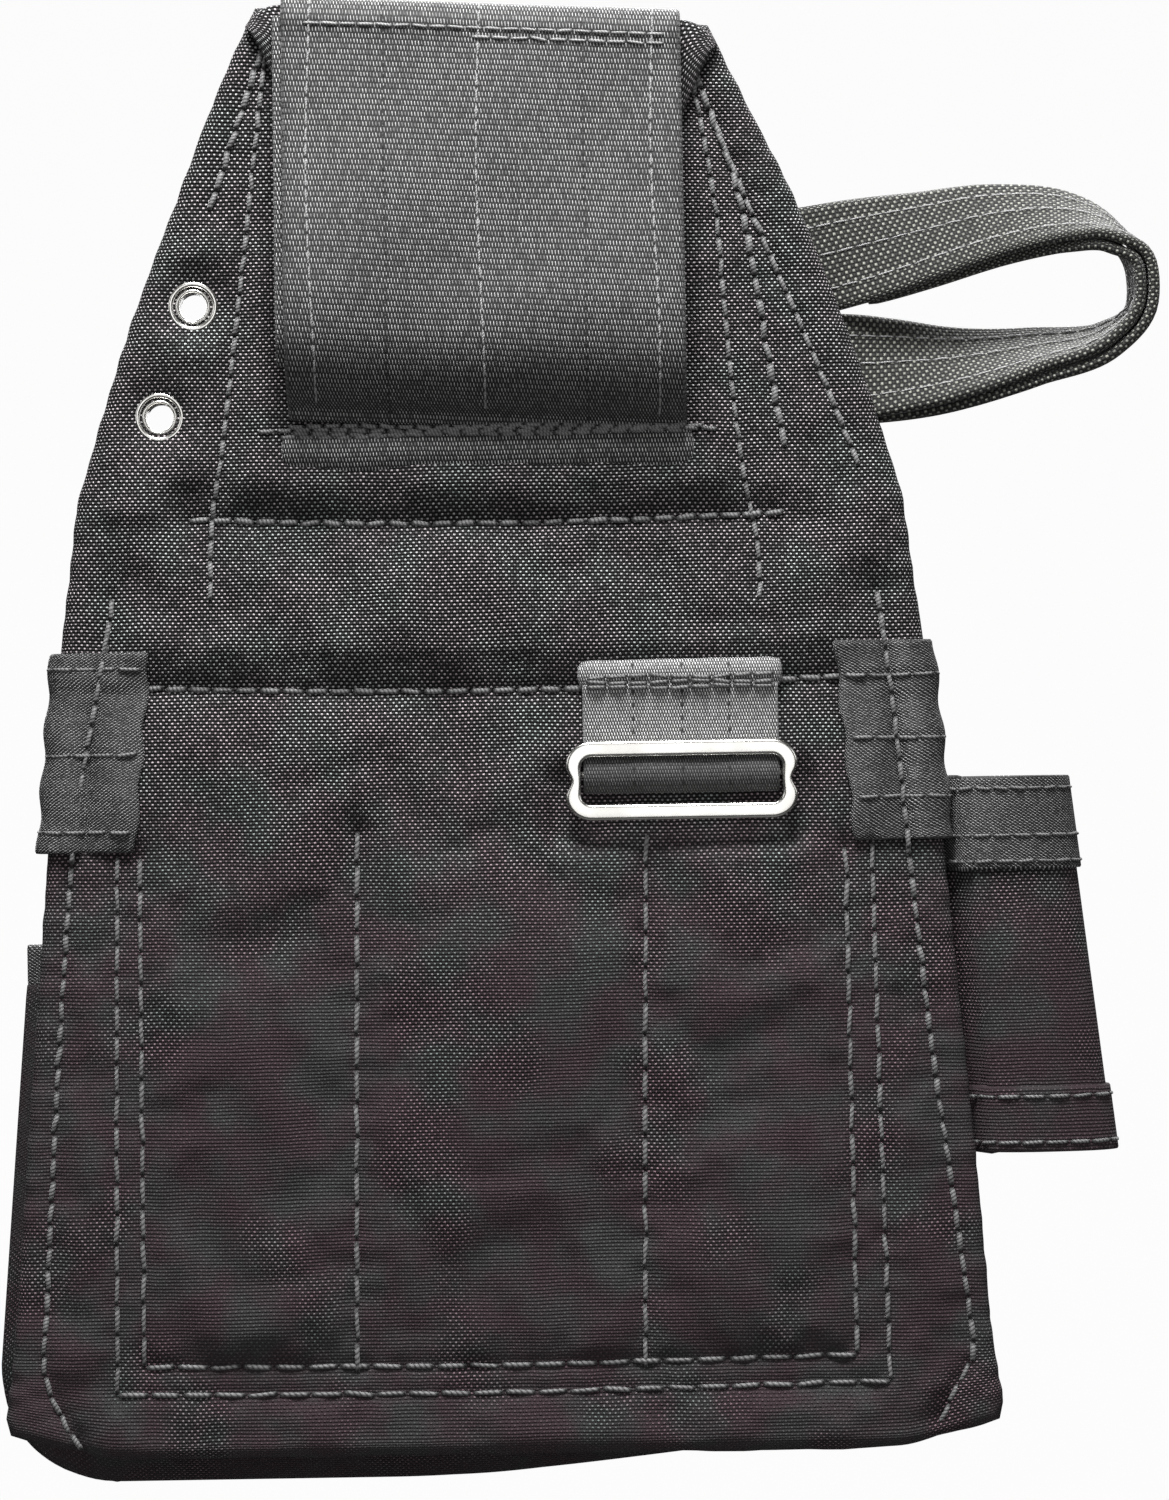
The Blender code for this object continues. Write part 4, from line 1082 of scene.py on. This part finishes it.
def top_ears():
    """The cover's canvas rolled over the top corners beside the webbing.

    Rows run from the top edge down to a slanting free edge, and the depth bulges by a half sine between them.
    """
    across, down = np.meshgrid(np.linspace(0, 1, 26), np.linspace(0, 1, 18))
    for name, side in (("left", -1), ("right", 1)):
        x = side * (0.0480 + 0.0104 * across) - side * 0.0022 * down * across
        high = 0.0034 - 0.0052 * across**3
        low = -0.0245 + 0.0200 * across**0.85
        z = high + (low - high) * down - TOP_SLOPE * x
        y = PANEL_BACK - 0.0014 - 0.0034 * np.sin(math.pi * (0.06 + 0.74 * down)) * (1 - 0.4 * across)
        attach(cloth(f"top_ear_{name}", surface(x, y, z), 0.0014, CANVAS), "pouch")


def eyelet_pieces():
    """Each eyelet as a turned ring, with a rolled flange, a groove and the barrel, and a washer in front."""
    base = PANEL_BACK - 0.0002
    front = PANEL_FRONT + 0.0003
    turn = np.linspace(0, math.pi, 9)
    roll = np.stack([0.00565 + 0.00085 * np.cos(turn), base - 0.00105 * np.sin(turn) - 0.0001], axis=1)
    turn = np.linspace(0.25, math.pi, 8)
    lip = np.stack([0.00398 + 0.00048 * np.cos(turn), base - 0.0002 - 0.0008 * np.sin(turn)], axis=1)
    barrel = [(0.0035, base), (0.0035, front + 0.0009), (0.0041, front + 0.0011), (0.0043, base + 0.0004)]
    flange = np.vstack([roll, [(0.00455, base - 0.0003)], lip, barrel, [(0.0062, base + 0.0005)]])
    washer = [(0.0065, front), (0.0063, front + 0.0010), (0.0048, front + 0.0012), (0.0046, front)]
    for place, word in zip(EYELETS, ("upper", "lower")):
        rides(lathe(f"eyelet_ring_{word}", flange, place, NICKEL), "pouch", f"eyelet_{word}")
        rides(lathe(f"eyelet_back_{word}", washer, place, NICKEL), "pouch", f"eyelet_washer_{word}")


def wrap_grid(side, top, bottom, reach):
    """Webbing round the panel's edge: over the cover, half an ellipse round it, and back along the front."""
    z = np.linspace(top, bottom, 44)[:, None]
    edge = panel_half(z) + 0.0005 * np.sin(z * 420 + side)
    start = edge - 0.0036  # where the webbing begins to turn round the edge
    back_x = edge - reach + np.linspace(0, 1, 30) * (reach - 0.0036)
    back = back_y(back_x, z + 0 * back_x) - 0.0012
    turn = np.linspace(0, math.pi, 18)[1:-1]
    near = back[:, -1:]
    far = PANEL_FRONT + 0.0011
    arc_y = (near + far) / 2 + (near - far) / 2 * np.cos(turn)
    front_x = start - np.linspace(0, 0.0036, 5)
    x = np.concatenate([back_x, start + 0.0058 * np.sin(turn), front_x], axis=1)
    y = np.concatenate([back, arc_y, far + 0 * front_x], axis=1)
    z = z + 0 * x
    ruffle = 0.00060 * ripples(x * 3, z, (0.016, 0.025, 0.040), 21)
    return surface(side * x, y - ruffle * (y < 0.004), z)


def edge_wraps():
    """The two webbing wraps, their rows of stitches and the side seams that cross them."""
    groups = []
    rows = {"left": (-1, (-0.1588, -0.1800, -0.2000)), "right": (1, (-0.1627, -0.1787, -0.1934))}
    for name, (side, heights) in rows.items():
        grid = wrap_grid(side, -0.1552, -0.2040, 0.0218)
        rides(cloth(f"wrap_{name}", grid, 0.0014, BINDING), "pouch", f"edge_wrap_{name}")
        outward = faced(grid, len(grid) // 2, 5, -1)
        for z in heights:
            row = int(np.argmin(np.abs(grid[:, 0, 2] - z)))
            line = grid[row, 1:40] + outward[row, 1:40] * 0.0008
            groups.append((line, outward[row, 1:40], 0.0060, 0.00040))
    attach(stitches("wrap_thread", groups, THREAD, seed=9), "pouch")
    groups = []
    for seam_name in ("left_side", "right_side"):
        line = SEAMS[seam_name].line
        covered = line[(line[:, 1] < -0.150) & (line[:, 1] > -0.208)]
        groups.append((*on_cover(covered, over=0.0024), 0.0056, 0.00050))
    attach(stitches("wrap_seam_thread", groups, THREAD, seed=10), "pouch")


# ---------------------------------------------------------------- tab and buckle

TAB_HALF = 0.0240
BAR_Z = -0.1871
BUCKLE_Z = -0.1887


def tab_pieces():
    """The strap that holds the buckle: a folded end under the quilt seam, and a loop round the bar."""
    x, t = np.meshgrid(np.linspace(TAB_X - 0.0237, TAB_X + 0.0237, 40), np.linspace(0, 1, 10))
    z = -0.1598 - 0.0044 * t
    outer = surface(x, -0.0006 - 0.0007 * np.sin(math.pi * (0.1 + 0.8 * t)), z)
    inner = surface(x, np.full_like(x, 0.0026), z)
    anchor = two_faced("tab_end", outer, inner, TAB_WEBBING, uv=surface(x - TAB_X, z))
    rides(anchor, "pouch", "tab_anchor")
    down = [(-0.0006, -0.1650), (-0.0001, -0.1700), (-0.0001, -0.1770), (-0.0004, -0.1815)]
    under = [(-0.0014, -0.1838), (-0.0021, -0.1862), (-0.0021, -0.1882), (-0.0010, -0.1905)]
    behind = [(0.0006, -0.1914), (0.0019, -0.1902), (0.0023, -0.1870), (0.0023, -0.1830), (0.0020, -0.1700)]
    line = curve(down + under + behind, 80)
    x, run = np.meshgrid(np.linspace(-TAB_HALF, TAB_HALF, 44), lengths(line))
    grid = surface(TAB_X + x, line[:, :1] + 0.00015 * np.sin(x * 260), line[:, 1:] + 0 * x)
    strap = cloth("tab_strap", grid, 0.0011, TAB_WEBBING, uv=surface(x, -run))
    rides(strap, "tab", "buckle_tab")
    across = np.linspace(TAB_X - 0.0235, TAB_X + 0.0235, 50)
    towards_hip = np.tile([0.0, -1.0, 0.0], (50, 1))
    groups = []
    for z, phase in ((-0.1628, 0.0), (-0.1642, 3.6), (-0.1655, 1.8)):
        line = np.stack([across, np.full(50, -0.0016), z + 0.0003 * np.sin(across * 210 + phase)], axis=1)
        groups.append((line, towards_hip, 0.0050, 0.00042))
    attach(stitches("tab_thread", groups, THREAD, seed=12), "pouch")


def buckle():
    """A flat stamped ring with pinched ends and the round bar that the strap turns on.

    The ring's middle line is a rectangle with quarter circles for corners, and its section a circle squared
    by taking the cosine and the sine to a power below one.
    """
    wide, tall, corner = 0.0272, 0.0079, 0.0046
    half_band, half_thick = 0.0020, 0.0012
    quarter = np.linspace(0, math.pi / 2, 12)
    turned = []
    for number, (side_x, side_z) in enumerate(((1, 1), (-1, 1), (-1, -1), (1, -1))):
        angle = quarter + number * math.pi / 2
        x = side_x * (wide - corner) + corner * np.cos(angle)
        z = side_z * (tall - corner) + corner * np.sin(angle)
        turned.append(np.stack([x, z], axis=1))
    ring = even(np.vstack([*turned, turned[0][:1]]), 181)[:-1]
    pinch = 0.0017 * np.exp(-((ring[:, 1] / 0.0024) ** 2)) * (np.abs(ring[:, 0]) > wide - corner)
    ahead = unit(np.roll(ring, -1, axis=0) - np.roll(ring, 1, axis=0))
    angle = np.linspace(0, 2 * math.pi, 24, endpoint=False)[:, None]
    across = half_band * np.sign(np.cos(angle)) * np.abs(np.cos(angle)) ** 0.45
    deep = half_thick * np.sign(np.sin(angle)) * np.abs(np.sin(angle)) ** 0.60
    outside = (across / half_band + 1) / 2
    x = TAB_X + ring[:, 0] + across * ahead[:, 1] - np.sign(ring[:, 0]) * pinch * outside
    grid = surface(x, -0.0024 + deep, BUCKLE_Z + ring[:, 1] - across * ahead[:, 0])
    uv = np.stack(np.meshgrid(np.linspace(0, 0.15, len(ring) + 1), np.linspace(0, 0.012, 25)), axis=2)
    rides(ring_solid("buckle_ring", grid, NICKEL, uv), "buckle", "buckle_frame")
    angle = np.linspace(0, 2 * math.pi, 16, endpoint=False)
    places = np.array([-0.0262, -0.0262, -0.0258, 0.0258, 0.0262, 0.0262])
    girth = np.array([0.00001, 0.0007, 0.0009, 0.0009, 0.0007, 0.00001])[:, None]
    y = 0.0002 + girth * np.cos(angle) * 0.8
    grid = surface(TAB_X + places[:, None], y, BAR_Z + girth * np.sin(angle))
    uv = np.stack(np.meshgrid(np.linspace(0, 0.008, 17), np.linspace(0, 0.05, 7)), axis=2)
    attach(ring_solid("buckle_bar", grid, NICKEL, uv), "buckle")


# ---------------------------------------------------------------- hammer loop


def loop_path():
    """The doubled strap's middle line and its lean, the degrees that its width turns from upright."""
    root_x, reach, upper, lower = 0.0695, 0.0975, -0.0600, -0.0850
    root_y = PANEL_FRONT + 0.0034
    swell = 0.0085
    far = root_x + reach
    points = [
        (root_x, root_y, upper, 0),
        (root_x + 0.0100, root_y + 0.0008, upper + 0.0010, 2),
        (root_x + 0.0220, root_y + 0.30 * swell, upper + 0.0030, 14),
        (root_x + 0.0400, root_y + 0.68 * swell, upper + 0.0065, 32),
        (root_x + 0.0600, root_y + 0.95 * swell, upper + 0.0105, 46),
        (root_x + 0.0770, root_y + swell, upper + 0.0110, 60),
        (far - 0.0085, root_y + swell, upper + 0.0070, 76),
        (far - 0.0010, root_y + swell, upper - 0.0010, 88),
        (far - 0.0010, root_y + swell, upper - 0.0105, 88),
        (far - 0.0100, root_y + swell, upper - 0.0190, 78),
        (root_x + 0.0680, root_y + swell, lower + 0.0020, 64),
        (root_x + 0.0500, root_y + 0.75 * swell, lower - 0.0005, 48),
        (root_x + 0.0330, root_y + 0.45 * swell, lower - 0.0010, 26),
        (root_x + 0.0170, root_y + 0.0016, lower - 0.0005, 4),
        (root_x + 0.0050, root_y, lower, 0),
    ]
    fine = curve(np.array([(x, y, z, lean * MM) for x, y, z, lean in points]), 150)
    return fine[:, :3], fine[:, 3:] / MM


def loop_strap(name, middle, lean, offset, width):
    """A strap beside the loop's middle line: width turned by the lean, then set square to the line."""
    along = unit(np.gradient(middle, axis=0))
    turn = np.radians(lean)
    across = np.concatenate([0 * turn, np.sin(turn), np.cos(turn)], axis=1)
    across = unit(across - along * np.sum(across * along, axis=1, keepdims=True))
    aside = np.cross(along, across)
    centre = middle + aside * offset
    s, run = np.meshgrid(np.linspace(-0.5, 0.5, 18), lengths(centre))
    cup = 0.0003 * (1 - (2 * s) ** 2)
    grid = centre[:, None] + across[:, None] * s[..., None] * width + aside[:, None] * cup[..., None]
    thick = 0.0028 - 0.0005 * (1 - np.abs(2 * s) ** 6)
    return cloth(name, grid, thick, LOOP_WEBBING, uv=surface(s * width, -run)), grid


def hammer_loop():
    """Two straps, one inside the other, each cut short of one root, with lengthways lines of thread."""
    middle, lean = loop_path()
    end = int(0.905 * len(middle))
    start = int(0.115 * len(middle))
    outer, outer_grid = loop_strap("hammer_loop_outer", middle[:end], lean[:end], 0.00165, 0.0250)
    inner, inner_grid = loop_strap("hammer_loop_inner", middle[start:], lean[start:], -0.00165, 0.0246)
    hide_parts("loop_outer_strap")
    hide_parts("loop_inner_strap")
    groups = []
    for grid, towards in ((outer_grid, -1), (inner_grid, 1)):
        outward = faced(grid, 8, 9, towards)
        for column in (3, 9, 14):
            line = grid[:, column] + outward[:, column] * 0.0012
            groups.append((line, outward[:, column], 0.0048, 0.00022))
    thread = stitches("hammer_loop_thread", groups, PALE_THREAD, seed=15)
    for piece in (outer, inner, thread):
        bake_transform(piece)


# ---------------------------------------------------------------- sleeve


def sleeve_rings(heights, grow):
    """Level rings of the sleeve: a circle squeezed to a drop whose point is at the panel's edge.

    x = w (1 - cos a) / 2 and y = -d sin a, narrowed near the point by 1 - 0.55 exp(-x / 6 mm) and kept clear
    of the panel's front, with slow dents.
    """
    z = heights[:, None]
    angle = np.linspace(0, 2 * math.pi, 72, endpoint=False)
    share = np.clip((-0.190 - z) / 0.093, 0, 1)
    wide = 0.0385 + 0.0030 * share + grow
    deep = 0.0118 + grow / 2 + 0.0006 * np.sin(share * 5)
    run = wide * (1 - np.cos(angle)) / 2
    x = panel_half(z) - 0.0058 + run - grow / 2
    y = 0.0128 - deep * np.sin(angle) * (1 - 0.55 * np.exp(-run / 0.006))
    y = np.maximum(y, 0.0114 - grow / 2 - 0.0130 * ease(0.0055, 0.0160, run))
    z = z + 0 * x
    y = y + 0.0007 * ripples(x, z, (0.020, 0.028, 0.015), 33) * np.sin(angle)
    return surface(x, y, z)


def side_sleeve():
    """The open tube at the pouch's side, with webbing round its mouth and a turned hem at its foot."""
    pieces = []
    # Each layer's piece, node, top, bottom, levels, how far it stands out and in from the tube, and finish.
    for name, node, top, bottom, levels, out, within, finish in (
        ("sleeve_body", "side_sleeve", -0.1915, -0.2815, 56, 0.0, -0.0024, CANVAS),
        ("sleeve_mouth", "sleeve_top_binding", -0.1897, -0.2120, 20, 0.0024, 0.0002, BINDING),
        ("sleeve_foot", "sleeve_bottom_hem", -0.2675, -0.2830, 16, 0.0022, 0.0002, CANVAS),
    ):
        z = np.linspace(top, bottom, levels)
        piece = hoop(name, sleeve_rings(z, out), sleeve_rings(z, within), finish)
        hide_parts(node)
        pieces.append(piece)
    groups = [
        sleeve_row(-0.1922, 0.0026, 0.0045, 0.00034),
        sleeve_row(-0.2040, 0.0026, 0.0050, 0.00034),
        sleeve_row(-0.2105, 0.0026, 0.0052, 0.00034),
        sleeve_row(-0.2695, 0.0024, 0.0062, 0.00042),
        sleeve_row(-0.2810, 0.0024, 0.0062, 0.00042),
    ]
    pieces.append(stitches("sleeve_thread", groups, THREAD, seed=17))
    for piece in pieces:
        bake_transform(piece)


def sleeve_row(height, grow, pitch, radius):
    """One closed row of stitches round the sleeve."""
    ring = sleeve_rings(np.array([height]), grow)[0]
    ring = np.vstack([ring, ring[:1]])
    away = unit((ring - ring.mean(axis=0)) * [1, 2.2, 0])
    return ring, away, pitch, radius


# ---------------------------------------------------------------- front of the pouch


def plain_panel(name, half_of, top, bottom, y, belly, shift, lift, corner, seed):
    """A flat cut panel with a slight belly: its depth swells with the product of two half sines."""
    thick = 0.0014
    shape = rounded(half_of, bottom, corner)
    x, z = panel_grid(shape, top, bottom, 0.0032, inset=thick / 2)
    across = x / np.maximum(shape(z), 1e-6)
    down = (top - z) / (top - bottom)
    bulge = belly * (1 - across**4) * np.sin(math.pi * np.clip(down, 0, 1) ** 0.8)
    wave = 0.0007 * ripples(x, z, (0.045, 0.032, 0.060), seed) * (1 - across**6)
    grid = surface(x + shift, y + bulge + wave, z + lift * foot_rise(x + shift, z))
    return cloth(name, grid, thick, CANVAS, uv=surface(x, z)), grid


def u_line(half_of, top, bottom, corner):
    """A line down the left side, round two corners and up the right side, in x and z."""
    z = np.linspace(top, bottom + corner, 60)
    left = np.stack([-half_of(z), z], axis=1)
    turn = np.linspace(0, math.pi / 2, 16)[1:]
    wide = half_of(np.array([bottom + corner]))[0]
    bend = np.stack([-wide + corner * (1 - np.cos(turn)), bottom + corner * (1 - np.sin(turn))], axis=1)
    half = np.vstack([left, bend])
    return even(np.vstack([half, half[::-1] * [-1, 1]]), 200)


def pocket_sides(word, near, far, depths, seed):
    """The band round a pocket: lines from the rear outline to the front one, sagging inwards between them.

    It is cut in three pieces: the two gussets and the foot. The sag is a half sine of 1.2 mm, and 3 mm more
    down the sides.
    """
    count = len(near)
    t = np.linspace(0, 1, 14)[:, None, None]
    inward = unit(np.array([near[:, 0].mean(), near[:, 1].max()]) - near)
    side_share = ease(0.0, 0.12, np.abs(np.linspace(-0.5, 0.5, count)) - 0.20)[None, :, None]
    sag = np.sin(math.pi * t) * (0.0012 + 0.0030 * side_share)
    line = near[None] * (1 - t) + far[None] * t + inward[None] * sag
    y = depths[0] + (depths[1] - depths[0]) * t[..., 0] + 0 * line[..., 0]
    gather = 0.0005 * ripples(y * 3, line[..., 1], (0.03, 0.05), seed) * np.sin(math.pi * t[..., 0])
    grid = surface(line[..., 0] + gather, y, line[..., 1])
    first = int(np.argmax(near[:, 1] < near[:, 1].min() + 0.012))
    last = count - first
    cuts = {
        ("side_left", "gusset_left"): slice(0, first + 1),
        ("foot", "bottom"): slice(first, last),
        ("side_right", "gusset_right"): slice(last - 1, count),
    }
    for (name, node), cut in cuts.items():
        piece = cloth(f"{word}_{name}", grid[:, cut], 0.0012, CANVAS)
        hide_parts(f"{word}_pocket_{node}")
        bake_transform(piece)


def tape(word, half_width, top, y, shift):
    """Webbing folded over a pocket's mouth: a narrow U carried across. Returns its row of stitches."""
    bottom = top - 0.0100
    radius = 0.0013
    turn = np.linspace(0, math.pi, 13)
    over = np.stack([y + radius * np.cos(turn), top - radius + radius * np.sin(turn)], axis=1)
    front = [(y + radius, bottom), (y + radius, (top + bottom) / 2)]
    back = [(y - radius, (top + bottom) / 2), (y - radius, bottom)]
    section = even(np.vstack([front, over, back]), 34)
    x = np.linspace(-half_width, half_width, 120) + shift
    y_wave = 0.0003 * np.sin(x * 70)
    z_wave = 0.0003 * np.sin(x * 55 + 1)
    grid = surface(x, section[:, :1] + y_wave, section[:, 1:] + z_wave)
    rides(cloth(f"{word}_mouth_tape", grid, 0.0009, BINDING), f"{word}_pocket", f"{word}_pocket_binding")
    return grid[4] + [0, 0.0005, 0], np.tile([0.0, 1.0, 0.0], (120, 1)), 0.0052, 0.00036


def main_half(z):
    return panel_half(np.asarray(z)) - 0.004


def outer_half(z):
    return panel_half(np.asarray(z)) + 0.005


def inner_tool_pocket():
    """Three tool slots sewn inside: each swells between its seams by a half sine and closes at the foot."""
    top, bottom, half, divider = -0.2025, -0.3390, 0.0946, 0.0362
    x, z = np.meshgrid(np.linspace(-half, half, 130), np.linspace(top, bottom, 80))
    edges = np.array([-half, -divider, divider, half])
    slot_number = np.clip(np.searchsorted(edges, x, side="right") - 1, 0, 2)
    share = (x - edges[slot_number]) / (edges[slot_number + 1] - edges[slot_number])
    puff = 0.0085 * np.sin(math.pi * share) ** 0.7 * ease(bottom, bottom + 0.030, z)
    y = PANEL_FRONT + 0.0012 + puff + 0.0004 * ripples(x, z, (0.03, 0.02), 40)
    made = cloth("tool_slots", surface(x, y, z), 0.0011, LINING)
    rides(made, "pouch", "inner_tool_pocket")
    fold = [(0.0016, -0.0058), (0.0016, -0.0006), (0.0, 0.0008), (-0.0013, -0.0006), (-0.0013, -0.0058)]
    section = curve(fold, 24)
    grid = surface(x[0], y[0] + section[:, :1], top + section[:, 1:])
    rides(cloth("tool_slots_tape", grid, 0.0008, BINDING), "pouch", "inner_pocket_binding")


def linings():
    """The lining sewn over the panel's front in two pieces, and the patch that holds the belt webbing."""
    for name, top, bottom, node in (
        ("lining_top", -0.0060, -0.1640, "lining_upper"),
        ("lining_foot", -0.1650, -0.3490, "lining_lower"),
    ):
        z = np.linspace(top, bottom, 70)[:, None]
        half = panel_half(z) - 0.0045
        x = half * np.linspace(-1, 1, 80)
        z = z + 0 * x
        y = PANEL_FRONT - 0.0001 + 0.00012 * ripples(x, z, (0.03, 0.02), 50)
        made = cloth(name, surface(x, y, z), 0.0007, LINING)
        if node == "lining_upper":
            punch(made, EYELET_HOLES)
        rides(made, "pouch", node)
    z = np.linspace(-0.0055, -0.1220, 60)[:, None]
    x = (0.0530 + 0.0150 * (-0.005 - z) / 0.117) * np.linspace(-1, 1, 70)
    z = z + 0 * x
    y = PANEL_FRONT + 0.0009 + 0.00015 * ripples(x, z, (0.04, 0.03), 51)
    rides(cloth("belt_patch", surface(x, y, z), 0.0012, CANVAS), "pouch", "anchor_patch")


def foam():
    """The pad inside the cover: crowned on the hip side and rounded at its edge."""
    half_of = rounded(panel_half, PANEL_BOTTOM, 0.010)
    x, z = panel_grid(half_of, PANEL_TOP - 0.008, PANEL_BOTTOM + 0.008, 0.005, inset=0.009)
    outer = surface(x, back_y(x, z) + 0.0022, z)
    inner = surface(x, np.full_like(x, PANEL_FRONT - 0.0022), z)
    made = punch(two_faced("foam_filling", outer, inner, FOAM, bulge=0.8), EYELET_HOLES)
    rides(made, "pouch", "foam_pad")


def foot_rise(x, z):
    """How much higher the outer pocket's foot hangs on the right, fading out up the pocket."""
    return 0.0105 * ease(-0.03, 0.115, x) * ease(-0.290, -0.350, z)


POCKETS = {
    "main": dict(
        low=MAIN_LOW, high=MAIN_HIGH, half_of=main_half, behind="pouch", rear=PANEL_FRONT + 0.0004,
        rear_foot=MAIN_LOW.z, belly=0.0010, shift=0.0, lift=0.0, corner=0.014, seed=60, thread_seed=86,
        tape_top=-0.1527, tape_half=float(main_half(-0.158)),
    ),
    "outer": dict(
        low=OUTER_LOW, high=OUTER_HIGH, half_of=outer_half, behind="main_pocket", rear=MAIN_HIGH.y + 0.0006,
        rear_foot=-0.3500, belly=0.0012, shift=-0.003, lift=1.0, corner=0.030, seed=70, thread_seed=81,
        tape_top=-0.2297, tape_half=float(outer_half(-0.236)),
    ),
}


def pocket(
    word, low, high, half_of, behind, rear, rear_foot, belly, shift, lift, corner, seed, tape_top, tape_half
):
    """One pocket: its front, the band round it back to what it is sewn on, and tape on its mouth.

    rear is the depth of what it is sewn on and rear_foot where the band starts there. shift moves the pocket
    across, and lift says how much of foot_rise it takes. Returns the groups of stitches on its front.
    """
    body = f"{word}_pocket"
    y = (low.y + high.y) / 2
    front, grid = plain_panel(f"{word}_front", half_of, high.z, low.z, y, belly, shift, lift, corner, seed)
    rides(front, body, f"{word}_pocket_front")
    near = u_line(lambda z: panel_half(z) - 0.0090, high.z, rear_foot, corner) + [shift, 0]
    far = u_line(lambda z: half_of(z) - 0.0002, high.z, low.z + 0.0002, corner) + [shift, 0]
    near[:, 1] += 0.4 * lift * foot_rise(near[:, 0], near[:, 1])
    far[:, 1] += lift * foot_rise(far[:, 0], far[:, 1])
    pocket_sides(word, near, far, (rear, low.y - 0.0004), seed + 1)
    mouth = tape(word, tape_half, tape_top, y, shift)
    line = edge_line(grid, 0.006) + [0, 0.0008, 0]
    return [mouth, (line, np.tile([0.0, 1.0, 0.0], (len(line), 1)), 0.0070, 0.00040)]


def pockets():
    """The main pocket on the panel and the outer one on it, then the stitches of both."""
    groups = {}
    for word, facts in POCKETS.items():
        groups[word] = pocket(word, **{key: value for key, value in facts.items() if key != "thread_seed"})
    for word, facts in POCKETS.items():
        thread = stitches(f"{word}_pocket_thread", groups[word], THREAD, seed=facts["thread_seed"])
        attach(thread, f"{word}_pocket")


def edge_line(grid, inset):
    """A line down the left edge of a grid, along its foot and up the right edge, some way inside it."""
    rows, columns = grid.shape[:2]
    step = np.linalg.norm(grid[rows // 2, 1] - grid[rows // 2, 0])
    n = max(1, int(round(inset / step)))
    above_corner = rows - n - 8  # the last eight rows crowd round the foot's corners
    left = grid[2:above_corner, n]
    foot = grid[above_corner, n : columns - n]
    return np.vstack([left, foot, grid[2:above_corner, columns - 1 - n][::-1]])


# ---------------------------------------------------------------- build

bpy.context.scene.view_settings.view_transform = "Standard"
world()
stage()
camera()
MIDDLE = (0, 0, -0.2)
lamp("key_above", (-0.02, -0.40, 0.66), (0, 0, -0.18), 0.34, 17)
lamp("front_glow", (0.1, -2.3, -0.05), (0, 0, -0.19), 1.7, 14)
lamp("fill_left", (-1.3, -0.7, 0.3), MIDDLE, 0.7, 2.5)
lamp("fill_right", (1.3, -0.7, 0.3), MIDDLE, 0.7, 2.5)
lamp("rim_back", (0.2, 0.9, 0.8), MIDDLE, 0.8, 22)
lamp("pocket_side", (-0.5, 2.4, 0.5), MIDDLE, 1.2, 26)

SWELL = simulate_cover()
panel = punch(padded_panel(), EYELET_HOLES)
rides(panel, "pouch", "back_panel")
foam()
linings()
seam_thread()
tunnel_thread(belt_tunnel())
top_ears()
eyelet_pieces()
edge_wraps()
tab_pieces()
buckle()
hammer_loop()
side_sleeve()
inner_tool_pocket()
pockets()
